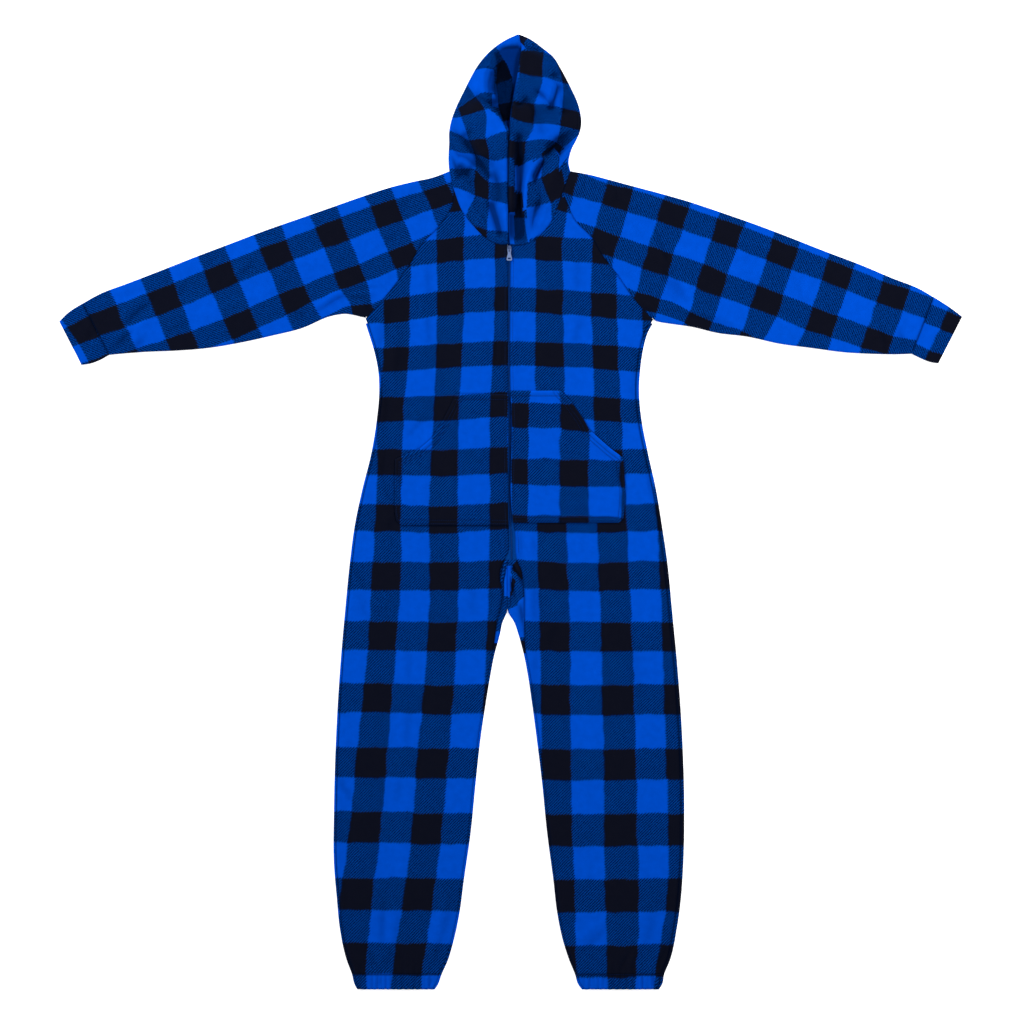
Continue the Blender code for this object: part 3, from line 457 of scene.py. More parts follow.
# Painted shade where the hood's cloth lies deep between its folds: how dark, from 0 to 1,
# and the half widths and the line as above.
HOOD_PAINTED_SHADE = {
    "left": [
        (0.45, 9, 8, [(511, 54), (509, 70), (506, 90), (504, 104)]),
        (0.45, 5, 4, [(500, 55), (507, 54), (514, 55)]),
        (0.40, 5, 5, [(491, 206), (496, 220), (500, 234)]),
        (0.35, 6, 6, [(467, 143), (473, 153), (482, 165)]),
        (0.40, 6, 6, [(456, 171), (464, 176), (472, 182)]),
        (0.30, 5, 5, [(486, 160), (494, 168), (497, 182)]),
        (0.30, 5, 5, [(476, 99), (485, 102), (493, 107)]),
    ],
    "right": [
        (0.55, 3.5, 5.0, [(511.5, 214), (511.5, 230), (511, 248)]),
        (0.50, 4, 4, [(519, 138), (519, 160), (519, 190), (519, 236)]),
        (0.65, 5, 6, [(551, 148), (557, 146), (563, 148)]),
        (0.50, 4, 5, [(550, 152), (541, 163), (535, 176)]),
        (0.35, 5, 5, [(559, 90), (553, 102), (548, 110)]),
        (0.40, 3, 3, [(512, 104), (518, 105), (524, 102)]),
        (0.30, 4, 4, [(560, 60), (556, 70), (553, 78)]),
        (0.30, 6, 6, [(540, 206), (534, 220), (532, 230)]),
        (0.35, 4, 4, [(561, 158), (565, 168), (568, 177)]),
        (0.30, 5, 4, [(536, 112), (540, 122), (541, 132)]),
    ],
}
FOLD_FALL = 1.5             # how sharply a fold falls off to its sides
NEARLY_ZERO = 1e-9

GATHER_REACH = 42 * MM      # of the ankle's puckers above the casing
GATHER_FADE = 3.2           # how fast they fade over it
GATHER_HEIGHT = 1.0 * MM
# The puckers' waves: pitch, share of the height and phase.
GATHER_WAVES = ((10.5 * MM, 1.0, 0.0), (17.3 * MM, 0.6, 2.0))
# What makes them uneven: how far they are pushed aside, the length of a radian, phase.
GATHER_PUSHES = ((3.0 * MM, 13 * MM, 0.0), (2.0 * MM, 31 * MM, 1.0))
GATHER_HELD = 0.75          # share of them that the casing's stitches hold down
GATHER_HELD_WIDTH = 3 * MM
CASING_SHADE = 0.8          # painted shade along the casing's row of stitches
CASING_WIDTH = 2.4 * MM
CASING_DEPTH = 0.6 * MM     # how far the cloth sinks there where that groove is 1


def signed_distance(line, points):
    """Distance of each place from a line of several straight parts, and on which side
    of it the place is, from -1 on the line's right to 1 on its left."""
    best = np.full(points.shape[:-1], np.inf)
    side = np.zeros_like(best)
    for start, end in zip(line, line[1:]):
        run = end - start
        share = np.clip(((points - start) @ run) / (run @ run), 0, 1)
        offset = points - (start + share[..., None] * run)
        distance = np.linalg.norm(offset, axis=-1)
        turned_to = run[0] * offset[..., 1] - run[1] * offset[..., 0]
        turned_to = turned_to / (np.linalg.norm(run) * np.maximum(distance, NEARLY_ZERO))
        nearer = distance < best
        best = np.where(nearer, distance, best)
        side = np.where(nearer, turned_to, side)
    return best, side


def distance_to(line, points):
    return signed_distance(line, points)[0]


def folds(points, rows):
    """What long folds add at many places, in the rows' unit. A line listed from the
    top down has the right of the picture on its own left."""
    total = np.zeros(points.shape[:-1])
    for height, left, right, line in rows:
        path = along(image_points(line), np.linspace(0, 1, 4 * len(line)))
        distance, side = signed_distance(path, points)
        width = ((right + left) / 2 + (right - left) / 2 * side) * PIXEL
        total += height * bell(distance, width, FOLD_FALL)
    return total


def gathers(x, y):
    """Puckers of the ankles' elastic, uneven, and fading up the leg."""
    bent = x + sum(push * np.sin(x / length + phase) for push, length, phase in GATHER_PUSHES)
    wave = sum(share * np.sin(2 * np.pi * bent / pitch + phase)
               for pitch, share, phase in GATHER_WAVES)
    above = np.maximum(y - CASING_LEVEL, 0) / GATHER_REACH
    free = 1 - GATHER_HELD * bell(y - CASING_LEVEL, GATHER_HELD_WIDTH)
    return GATHER_HEIGHT * wave * np.exp(-GATHER_FADE * above) * free


def casing_groove(y):
    """Closeness to the casing's row of stitches, where the cloth sinks and is darkened by painted
    shade.
    """
    return CASING_SHADE * bell(y - CASING_LEVEL, CASING_WIDTH)


def seam(*distances):
    """Closeness to the nearest of some seams, 1 on the seam."""
    return np.maximum.reduce([bell(distance, SEAM_WIDTH, SEAM_FALL) for distance in distances])


def sewn(*distances):
    """Height that a wall loses in a seam and gains beside it."""
    nearest = np.minimum.reduce([np.abs(distance) for distance in distances])
    return SEAM_PUFF * bell(nearest - PUFF_PLACE, PUFF_WIDTH) - SEAM_DEPTH * seam(nearest)


def with_painted_shade(x, y, z, painted_shade_and_light):
    """Points of a wall with a fourth value of painted shade, or painted highlight where it is
    negative.
    """
    return np.stack([x, y, z, np.broadcast_to(painted_shade_and_light, x.shape)], axis=-1)


# ---------------------------------------------------------------- the check
STIFFNESS = 0.5             # keeps a chart from following small errors of its crossings
SQUARE_NEARLY_ZERO = 1e-12


def image_points(points):
    """Places in the garment's frame of points in the photo's pixels."""
    points = np.asarray(points, dtype=float)
    return np.stack([(points[..., 0] - MIDDLE_COLUMN) * PIXEL,
                     (MIDDLE_ROW - points[..., 1]) * PIXEL], axis=-1)


def thin_plate(places, values):
    """The smoothest surface through values at scattered places."""
    places = np.asarray(places, dtype=float) / GRID
    values = np.asarray(values, dtype=float)

    def kernel(a, b):
        square = ((a[:, None, :] - b[None, :, :]) ** 2).sum(axis=2)
        return square * np.log(square + SQUARE_NEARLY_ZERO) / 2

    count = len(places)
    plane = np.hstack([np.ones((count, 1)), places])
    system = np.zeros((count + 3, count + 3))
    system[:count, :count] = kernel(places, places) + np.eye(count) * STIFFNESS
    system[:count, count:] = plane
    system[count:, :count] = plane.T
    weights = np.linalg.solve(system, np.vstack([values, np.zeros((3, values.shape[1]))]))

    def surface(points):
        flat = np.asarray(points, dtype=float).reshape(-1, 2) / GRID
        made = kernel(flat, places) @ weights[:count]
        made += np.hstack([np.ones((len(flat), 1)), flat]) @ weights[count:]
        return made.reshape(*np.shape(points)[:-1], values.shape[1])

    return surface


# Lines of the check in the photo's pixels. A whole number is the edge of a band,
# and the bands from 0 to 1, 2 to 3 and so on are black. "u" counts bands to the
# right and "v" counts them toward the hood.
BODY_COLUMN_LINES = {
    "left": ((-1, 0, 1, 2, 3, 4, 5), [
        (240, 357, 386, 412, 437, 464, 495, 508), (302, 356, 384, 410, 437, 464, 495, 509),
        (356, 355, 384, 409, 436, 462, 493, 508), (410, 350, 378, 404, 434, 459, 490, 508),
        (464, 349, 378, 402, 431, 458, 490, 508), (515, 348, 376, 401, 429, 458, 490, 512),
        (576, 344, 372, 401, 430, 459, 489, 515), (635, 343, 369, 397, 428, 457, 487, 514),
        (698, 336, 363, 392, 423, 453, 484, 512), (763, 328, 356, 387, 417, 448, 478, 508),
        (828, 322, 350, 381, 412, 442, 473, 503), (895, 314, 341, 373, 404, 434, 466, 496),
        (960, 310, 338, 367, 394, 424, 454, 484), (990, 312, 340, 366, 391, 421, 447, 474),
    ]),
    "right": ((5, 6, 7, 8, 9, 10, 11), [
        (206, 508, 541, 568, 597, 619, 645, 670),
        (240, 508, 536, 563, 593, 616, 642, 668), (302, 509, 536, 563, 591, 617, 642, 668),
        (356, 508, 535, 564, 593, 618, 643, 668), (410, 509, 535, 565, 594, 621, 646, 670),
        (464, 509, 536, 566, 596, 623, 652, 676), (515, 511, 537, 566, 597, 626, 656, 682),
        (576, 510, 538, 568, 599, 629, 660, 690), (635, 511, 540, 570, 601, 632, 662, 692),
        (698, 512, 541, 570, 602, 634, 664, 694), (763, 513, 542, 571, 604, 636, 666, 697),
        (828, 515, 545, 572, 604, 637, 668, 699), (895, 518, 547, 575, 605, 639, 667, 698),
        (960, 520, 549, 576, 607, 637, 657, 688), (990, 520, 549, 578, 608, 635, 653, 680),
    ]),
}
BODY_ROW_STATIONS = {"left": (385, 450, 503), "right": (520, 585, 645)}
# Tops of the black rows at those stations, and the rows' height, from the neck down.
BODY_ROWS = {
    "left": Table("one two three height", [
        (198, 188, 184, 24), (247, 238, 234, 24), (300, 291, 287, 24), (348, 344, 341, 24),
        (397, 396, 392, 24.5), (449, 450, 447, 26), (504, 506, 502, 27), (562, 562, 560, 28),
        (621, 622, 620, 29), (683, 685, 683, 29), (747, 748, 747, 30), (811, 813, 812, 31),
        (877, 878, 877, 32.5), (942, 943, 943, 31.5),
    ], unit=1),
    "right": Table("one two three height", [
        (184, 203, 208, 14), (235, 239, 243, 24), (288, 292, 297, 24), (342, 344, 349, 24),
        (392, 396, 401, 23.5), (447, 450, 449, 25), (504, 506, 504, 27), (560, 563, 561, 28),
        (621, 622, 622, 29), (683, 685, 684, 30), (748, 749, 748, 31), (813, 814, 813, 32),
        (879, 879, 878, 33), (944, 945, 944, 32),
    ], unit=1),
}
# Crossings of the check's lines on the other panels: u, v, column, row.
SLEEVE_CROSSINGS = {
    "left": [
        (0, 3, 87.5, 315.5), (1, 3, 117, 305.5), (1, 2, 126.2, 327.8), (0, 2, 98, 336.3),
        (2, 3, 147.6, 293.2), (3, 3, 174.5, 283.5), (3, 2, 183.3, 306.3), (2, 2, 157.1, 316.7),
        (4, 3, 204.2, 271.2), (5, 3, 230.6, 261.2), (5, 2, 239.3, 282.4), (4, 2, 212.9, 294),
        (6, 3, 260.1, 249), (7, 3, 286.6, 239.5), (7, 2, 294.3, 260.2), (6, 2, 269.3, 270.8),
        (8, 3, 315.5, 228.2), (9, 3, 341.5, 217.9), (9, 2, 350, 240.4), (8, 2, 324.3, 248.7),
        (10, 3, 370.1, 207.7), (11, 3, 395.8, 199.3), (11, 2, 403.9, 220.4),
        (10, 2, 378.6, 228.9), (12, 3, 423.4, 191.5), (13, 3, 447, 184), (12, 2, 431.9, 210.2),
        (13, 2, 456, 202), (2, 1, 166.4, 339.5), (3, 1, 192.4, 331), (3, 0, 200.7, 351),
        (4, 1, 223.8, 319.1), (5, 1, 250, 308), (5, 0, 258.5, 328.5), (4, 0, 232.9, 339.8),
        (6, 1, 278.9, 294.5), (7, 1, 304.5, 285.7), (7, 0, 311.9, 302.3), (6, 0, 286.9, 315.5),
        (8, 1, 333.9, 273.7), (9, 1, 359.8, 264.4), (9, 0, 366.4, 281.5), (8, 0, 340.8, 290.1),
        (10, 1, 388.2, 252.4), (11, 1, 412.4, 242.1), (10, 0, 396.2, 269.7),
        (8, -1, 351, 306), (9, -1, 372, 303.5),
    ],
    "right": [
        (0, 3, 606.6, 184.2), (1, 3, 633.3, 190.1), (1, 2, 627.5, 212.1), (0, 2, 601.1, 204),
        (2, 3, 663.1, 199.9), (3, 3, 688.8, 208.4), (3, 2, 682, 230.1), (2, 2, 656.1, 221.3),
        (4, 3, 717.7, 218.4), (5, 3, 743.1, 227.5), (5, 2, 736, 249.2), (4, 2, 710.4, 240.4),
        (6, 3, 771.8, 238.8), (7, 3, 798.1, 248.3), (7, 2, 791, 270), (6, 2, 765.8, 260.5),
        (8, 3, 827.7, 259.5), (9, 3, 853.2, 269.3), (9, 2, 846.5, 290.6), (8, 2, 820.4, 280.5),
        (10, 3, 882.2, 281.4), (11, 3, 908.8, 290.1), (11, 2, 902, 311), (10, 2, 875.6, 302.5),
        (-1, 3, 579.8, 172.5), (-1, 2, 573.2, 196.4),
        (0, 1, 594.5, 227.8), (1, 1, 619.4, 237.3), (1, 0, 613.1, 258),
        (2, 1, 648.7, 246.5), (3, 1, 673.4, 254.3), (3, 0, 667.4, 276.9), (2, 0, 642.1, 268.5),
        (4, 1, 703, 264.4), (5, 1, 728, 274.4), (5, 0, 720.6, 297.2), (4, 0, 695.7, 287.6),
        (6, 1, 757.3, 285.4), (7, 1, 782.8, 295.2), (7, 0, 776, 317), (6, 0, 750.3, 307.4),
        (8, 1, 812.5, 306.7), (9, 1, 837.6, 315.9), (9, 0, 831, 337.9), (8, 0, 805.1, 329.6),
        (10, 1, 867.2, 327.1), (11, 1, 893.1, 336.3), (11, 0, 887.6, 354.1),
        (10, 0, 860.6, 347.8), (2, -1, 636.6, 292), (3, -1, 660.5, 299.4),
        (3, -2, 656.8, 313.3), (4, -1, 689.8, 311.8), (5, -1, 712.6, 322.1),
        (4, -2, 683.2, 322.8), (6, -1, 741.2, 331.3), (7, -1, 762.4, 341.2),
    ],
}
CUFF_CROSSINGS = {
    "left": [
        (0, 1, 67.5, 327.8), (1, 1, 92, 314.5), (0, 0, 79.5, 344.6), (1, 0, 100, 337),
        (0, -1, 89, 361), (1, -1, 110.5, 353), (-1, 1, 43, 341), (-1, 0, 57, 354),
    ],
    "right": [
        (2, 3, 946.7, 311.4), (2, 2, 939, 329.3), (2, 1, 929.4, 350.3), (3, 3, 972.5, 322.5),
        (3, 2, 965, 340), (3, 1, 956, 361), (1, 3, 918.7, 300.5), (1, 2, 911, 318.5),
        (1, 1, 901.5, 339.5),
    ],
}
RIGHT_POCKET_CROSSINGS = [
    (-1, 3, 484, 402), (0, 3, 511.9, 402.8), (1, 3, 528.7, 403.2), (2, 3, 560.5, 404),
    (3, 3, 588.2, 404.6), (0, 2, 511.9, 427.5), (1, 2, 528.2, 427.6), (2, 2, 560.5, 429),
    (0, 1, 511.9, 458.4), (1, 1, 528, 459), (2, 1, 560.2, 459.6), (3, 1, 588.2, 460.2),
    (4, 1, 619.7, 461.5), (0, 0, 511.9, 484), (1, 0, 528, 485), (2, 0, 560, 486),
    (3, 0, 588.4, 486.6), (4, 0, 620.4, 487.5), (0, -1, 511.9, 514.5),
    (1, -1, 527.6, 515), (2, -1, 560, 515.6),
    (3, -1, 588.6, 516), (4, -1, 621, 517.5),
]
HOOD_CROSSINGS = {
    "left": [
        (1, 3, 475.6, 97.2), (1, 2, 485.1, 111), (0, 2, 460.7, 117.1), (0, 3, 458, 108.9),
        (1, 3.9, 467.4, 84.4), (1.2, 4, 475.6, 70.9), (2, 4, 494.2, 70.5), (2, 3, 496, 95),
        (2, 5, 492.9, 59.4), (2, 2, 506.6, 113), (0, 1, 469.4, 140.9), (1, 1, 486, 139.5),
        (1, 0, 489.3, 160.9), (0, 0, 475.1, 155.1), (2, 1, 507.7, 132.1), (2, 0, 507.7, 158.9),
        (-1, 1, 446, 130.6), (-1, 0, 445, 149.8), (0, -1, 475.6, 170.6),
        (-1, -1, 447, 169.6), (1, -1, 488.6, 182.7), (1, -2, 488.9, 199.5),
        (0, -2, 474.5, 196.1), (2, -1, 507.7, 181.9), (2, -2, 507.7, 205.6),
        (-1, -2, 449, 187.6), (0, -2.9, 466, 215), (1, -3, 487.3, 230.1),
        (0.3, -3, 473.3, 225.5), (2, -3, 507.7, 232.4),
    ],
    "right": [
        (0, 1, 519.5, 52.6), (1, 1, 544, 53.3), (1, 0, 542.1, 78.9), (0, 0, 518.9, 74.3),
        (2, 1, 555.9, 57.9), (2, 0, 563, 82.9), (0, -1, 512.8, 102.3), (1, -1, 535.3, 104.9),
        (2, -1, 562.4, 108.7), (3, -1, 578.9, 112.6), (0, -2, 511.2, 118.7),
        (1, -2, 533.7, 125.3), (2, -2, 560.2, 126.8), (3, -2, 582, 132), (0, -3, 508.5, 141),
        (1, -3, 526.5, 142.1), (2, -3, 555.9, 142.9), (0, -4, 508.5, 161),
        (1, -4, 523.5, 165.1), (2, -4, 542.1, 157.9), (3, -3, 562.8, 147.5),
        (4, -3, 569.7, 165),
    ],
}
# The hood's cloth doubles back inside its deepest folds, so some zones of a panel,
# outlined in the photo's pixels, have crossings of their own, or lie in one cell.
BLUE_CELL = (1.5, 1.5)
BLACK_CELL = (0.5, 0.5)
TWILL_CELL = (0.5, 1.5)
HOOD_ZONES = {
    "left": [
        ([(494, 69), (495, 85), (496.5, 95), (498, 108), (488, 110.5), (493, 113.5),
          (499.5, 119.5), (504, 127), (507.5, 135), (520, 150), (530, 100), (530, 60),
          (519, 48), (503.5, 59.5), (498, 63.5)], [
            (2, 4, 495.8, 84.7), (3, 4, 512.3, 78.1), (2, 3, 498.1, 104.6), (3, 3, 512.8, 101.5),
            (2, 5, 496.2, 63.3), (3, 5, 504.6, 59.4), (4, 5, 518.9, 50.3), (4, 4, 521, 73),
            (2, 2, 502.4, 123), (3, 2, 512.3, 119.9),
        ]),
        ([(496.5, 40), (496.5, 48.8), (503.5, 59.5), (508, 66), (510.5, 74), (512.5, 77.8),
          (519.5, 77), (530, 60), (530, 28), (500, 28)], BLUE_CELL),
        ([(488, 40), (496.5, 40), (496.5, 48.8), (503.5, 59.5), (498, 63.5), (494, 69.6),
          (488, 70)], TWILL_CELL),
        ([(492, 95.5), (496.8, 94), (498.3, 108), (491.8, 108)], BLUE_CELL),
        ([(504.3, 121), (509, 121), (509, 131), (507, 132)], BLUE_CELL),
    ],
    "right": [
        ([(515, 28), (529.5, 28), (527.6, 38.4), (524.3, 43.6), (524.6, 49), (520.5, 42.5)],
         BLACK_CELL),
        ([(529.5, 28), (560, 28), (544, 53), (534, 51.2), (528, 49.5), (524.6, 49),
          (524.3, 43.6), (527.6, 38.4)], TWILL_CELL),
        ([(519, 34), (520.5, 42.5), (526, 50), (520, 53), (515, 53), (515, 34)], BLUE_CELL),
        ([(503, 158.5), (513.8, 158.5), (513.8, 187), (514.3, 213), (503, 213)], [
            (0.5, -4, 506, 158.5), (0.5, -4, 514, 158.5), (0.5, -5, 506, 186.5),
            (0.5, -5, 514, 187.5), (0.5, -6, 506, 213), (0.5, -6, 514, 213),
        ]),
        ([(503, 213), (514.3, 213), (514.3, 252), (503, 252)], BLUE_CELL),
        ([(513.8, 158.5), (523, 165), (525, 190), (526, 210), (530, 245), (530, 252),
          (514.3, 252), (514.3, 213), (513.8, 187)], [
            (0, -4, 513, 166), (1, -4, 526, 166), (0, -5, 513, 193), (1, -5, 525, 194),
            (0, -6, 513, 218), (1, -6, 525, 218.5), (0, -7, 514, 245), (1, -7, 528, 245),
        ]),
        ([(523, 166), (531, 165), (539, 157), (548, 148), (554, 149), (562, 163), (569, 177),
          (600, 200), (600, 262), (530, 262), (530, 245), (526, 210), (525, 190)], [
            (1, -4, 525.3, 167.4), (2, -4, 542.1, 158.2), (3, -4, 553.6, 148),
            (1, -5, 524.1, 185), (2, -5, 541.4, 178.1), (3, -5, 561.3, 165.5),
            (1, -6, 524.5, 209.5), (2, -6, 550.6, 202.6), (3, -6, 567, 193.4),
            (1, -7, 527.5, 241.6), (2, -7, 551, 231),
        ]),
        # the cloth's other side of the long fold, and the lobes above the shoulder
        ([(524, 166), (531, 161), (533, 164), (528.5, 176), (527, 190), (526.5, 211),
          (523.5, 212), (523, 190)], BLUE_CELL),
        ([(515, 166.5), (524, 166), (523.4, 193), (515, 191)], BLUE_CELL),
        ([(560.5, 155), (565, 149), (571, 145.5), (578, 143), (580, 146), (573, 164),
          (563.5, 163.5)], BLUE_CELL),
        ([(563.5, 163), (572, 163), (572.5, 168), (568.6, 178), (566.4, 173)], BLUE_CELL),
    ],
}
# The backs' edges between the legs, where the cloth is folded in small tucks.
CROTCH_ZONES = [
    ([(496, 556), (508, 556), (511, 563), (506.5, 568), (504.6, 597), (496, 597)], TWILL_CELL),
    ([(510, 556), (532, 556), (532, 596), (524, 597), (519.5, 600), (517, 605.5), (509, 609)],
     TWILL_CELL),
    ([(512.8, 565), (516, 561), (521, 563), (525, 572), (522, 580), (517, 574.5), (513, 570.5)],
     BLACK_CELL),
    ([(512, 577), (516, 580), (514, 589), (511, 597), (509.5, 597), (511, 588)], BLACK_CELL),
    ([(506.5, 566), (512.6, 566), (511, 572), (512, 577), (511, 588), (509.6, 597),
      (504.4, 595.5), (504.6, 580)], BLUE_CELL),
    ([(494, 597), (509.2, 597), (508.2, 612), (507.8, 631), (494, 631)], TWILL_CELL),
    ([(509, 609), (517, 605.5), (519.5, 600), (524, 597), (532, 596), (532, 637),
      (507.8, 637)], BLUE_CELL),
    ([(490, 631), (503, 631), (503, 642.6), (490, 642.6)], BLUE_CELL),
    ([(519, 640.5), (530, 640.5), (530, 652.5), (519, 652.5)], BLACK_CELL),
]


def nth_line(values, places):
    """How far each place lies past the lines at values, counted in lines."""
    count = np.zeros_like(places)
    for low, high in zip(values, values[1:]):
        count += np.clip((places - low) / (high - low), 0, 1)
    first = values[1] - values[0]
    last = values[-1] - values[-2]
    count += np.minimum((places - values[0]) / first, 0)
    count += np.maximum((places - values[-1]) / last, 0)
    return count


def body_check(side, points):
    column = MIDDLE_COLUMN + points[..., 0] / PIXEL
    row = MIDDLE_ROW - points[..., 1] / PIXEL
    lines, rows = BODY_COLUMN_LINES[side]
    rows = np.array(rows, dtype=float)
    edges = [smooth(rows[:, 0], rows[:, k + 1], row) for k in range(len(lines))]
    u = lines[0] + nth_line(edges, column)
    table = BODY_ROWS[side]
    tops = np.stack([table.column(name) for name in ("one", "two", "three")], axis=1)
    stations = BODY_ROW_STATIONS[side]
    edges = []
    for at, height in zip(tops, table.column("height")):
        top = smooth(stations, at, column)
        edges += [top, top + height]
    v = 2 * len(tops) - 1 - nth_line(edges, row)
    return np.stack([u, v], axis=-1)


def crossings(rows):
    """A chart from crossings: gives u and v at places in the garment's frame."""
    rows = np.array(rows, dtype=float)
    return thin_plate(image_points(rows[:, 2:]), rows[:, :2])


def inside(outline, points):
    """True where a place lies within an outline in the photo's pixels."""
    outline = image_points(outline)
    x, y = points[..., 0], points[..., 1]
    odd = np.zeros(x.shape, dtype=bool)
    for start, end in zip(outline, np.roll(outline, -1, axis=0)):
        rise = end[1] - start[1]
        if rise == 0:
            continue
        crossing = start[0] + (y - start[1]) * (end[0] - start[0]) / rise
        odd ^= ((start[1] > y) != (end[1] > y)) & (x < crossing)
    return odd


def zoned(chart, zones=()):
    """A chart for the corners of faces with zones of its own. A face takes the zone
    that its middle lies in, so that a zone ends sharply at a fold."""
    def check(corners):
        middles = corners.mean(axis=1)
        made = np.array(chart(corners))
        for outline, own in zones:
            within = inside(outline, middles)
            if isinstance(own, tuple):
                made[within] = own
            elif within.any():
                made[within] = crossings(own)(corners[within])
        return made

    return check


# ---------------------------------------------------------------- sections
NECK_PLACES = 11            # along the smooth neck seam
NECK_BEND_ENDS = 4          # row of the raglan's table where the neck's bend has ended
NECK_BEND_FALL = 1.5        # how fast it fades there
BELLY_FULL = 3              # row of that table from which a front has its whole belly
BEND_FALL = 4               # how late a bent section gives way to the seam's own line
ZIP_EDGE_SHADE = 0.5        # painted shade at a front's zip edge
OPENING_END = 8             # place in a pocket's outline where its opening ends
POCKET_SHADE = 0.75         # painted shadow on the front's cloth along a pocket's edges
POCKET_SHADE_WIDTH = 2 * MM
POCKET_GLINT = 0.35         # painted highlight on the pocket's edges themselves
POCKET_LIFT = 0.35 * MM     # between the pocket and the front
POCKET_HEM = 0.7 * MM       # swelling of its hemmed edges
POCKET_HEM_WIDTH = 6 * MM
POCKET_ROLL = 1.3 * MM      # how far the edges turn down
POCKET_ROLL_WIDTH = 1.8 * MM
STITCH_DEPTH = 0.45 * MM    # how far a row of stitches pulls the pocket in
STITCH_WIDTH = 1.5 * MM
# Painted shade in the grooves of the pocket's stitches.
STITCH_SHADE = 0.35
# Rows of stitches, from the pocket's top, its slanted opening and its other edges.
POCKET_STITCHES = ((9.5 * MM,), (7.5 * MM, 13.5 * MM), (3.0 * MM, 9.5 * MM))


def unit(vector):
    return np.asarray(vector, dtype=float) / np.linalg.norm(vector)


def quarter_turn(direction):
    """A direction turned to its left."""
    return np.array([-direction[1], direction[0]])


def set_back(points, distance):
    """The same line moved sideways, to its left."""
    steps = np.gradient(points, axis=0)
    sideways = np.stack([-steps[:, 1], steps[:, 0]], axis=1)
    return points + sideways / np.linalg.norm(sideways, axis=1)[:, None] * distance


def turn_over(rim, outward):
    """The wall turning over at the outline, from the lower layer to the upper."""
    angles = np.pi * np.arange(ARC_STEPS + 1) / ARC_STEPS - np.pi / 2
    outward = unit(outward)
    plan = np.asarray(rim) + outward * (FOLD_RADIUS * np.cos(angles) - ARC_INSET)[:, None]
    height = LOWER + FOLD_RADIUS * (1 + np.sin(angles))
    return with_painted_shade(plan[:, 0], plan[:, 1], height, 0.0)


def floor_strip(plan):
    """Points of the lower layer, which lies flat."""
    return with_painted_shade(plan[:, 0], plan[:, 1], np.full(len(plan), LOWER), 0.0)


def upper_layer(x, y, z, painted_shade_and_light):
    """Points of the upper layer, which never sinks into the lower one."""
    return with_painted_shade(x, y, np.maximum(z, LOWEST_UPPER), painted_shade_and_light)


def graded(length, ends=(True, True), step=GRID):
    """Shares from 0 to 1, even but for closer ones at the ends that are sewn."""
    close = SEWN_STEPS / length
    count = max(2, int(round(length / step)))
    shares = np.linspace(0, 1, count + 1)
    first = shares[shares > close[-1] * EVEN_AFTER] if ends[0] else shares
    shares = np.concatenate([close, first]) if ends[0] else shares
    if ends[1]:
        shares = shares[shares < 1 - close[-1] * EVEN_AFTER]
        shares = np.concatenate([shares, 1 - close[::-1]])
    return shares


def steps_along(start, stop, step=GRID):
    return np.linspace(start, stop, max(2, int(round(abs(stop - start) / step))) + 1)


def seam_lines(side, distance):
    """The raglan seam and the neck seam, moved onto the sleeve and the hood."""
    raglan = set_back(RAGLAN[side].points("seam"), SIGN[side] * distance)
    neck = along(NECK[side].points("seam"), np.linspace(0, 1, NECK_PLACES))
    return raglan, set_back(neck, SIGN[side] * distance)


def body_seam_lines(side):
    """The same, moved onto the body, whose corner at the shoulder is a little lower."""
    raglan, neck = seam_lines(side, -HALF_GAP)
    raglan[0] -= (0, CORNER_RELIEF)
    return raglan, neck


def shoulder_way(side):
    """Direction of the fold on the shoulder where sleeve, hood and body meet."""
    return unit(SLEEVES[side].points("fold")[-1] - RAGLAN[side].points("seam")[0])


def bent_onto(seam_plan, plan, bend):
    """A section's plan, and the seam's own line the more it is bent onto the seam."""
    return plan * (1 - bend ** BEND_FALL) + seam_plan * bend ** BEND_FALL


def front_span(side, level, margin=HALF_GAP):
    """x of a front's two edges at a level, moved in by a margin: the zip's or inside
    leg's, and the side's."""
    inner = FRONT_EDGES.read(side, level) + SIGN[side] * margin
    outer = SIDES.read(side, level) - SIGN[side] * (SIDE_RETURN[side] + margin)
    return inner, outer


def front_grid(side):
    """Plan of a front panel in rows from the neck to the hem, zip edge first, its
    shares across, and the share of the belly that each row has."""
    raglan, neck = body_seam_lines(side)
    reach = reach_along(raglan)
    shares = graded(FRONT_WIDTH)
    neck_bend = along(neck, shares) - between(neck[0], neck[-1], shares)
    rows = []
    belly = []
    for at in graded(reach[-1], (True, False)) * reach[-1]:
        outer = smooth(reach, raglan, at)
        level = smooth(reach, MIDDLE_LEVELS.column("zip"), at)
        inner = np.array([front_span(side, level)[0], level])
        bend = max(0.0, 1 - at / reach[NECK_BEND_ENDS]) ** NECK_BEND_FALL
        rows.append(between(inner, outer, shares) + neck_bend * bend)
        belly.append(min(1.0, at / reach[BELLY_FULL]))
    for level in steps_along(ARMPIT_LEVEL, HEM_LEVEL):
        inner, outer = front_span(side, level)
        x = inner + (outer - inner) * shares
        rows.append(np.column_stack([x, np.full(len(x), level)]))
        belly.append(1.0)
    return np.array(rows), shares, np.array(belly)


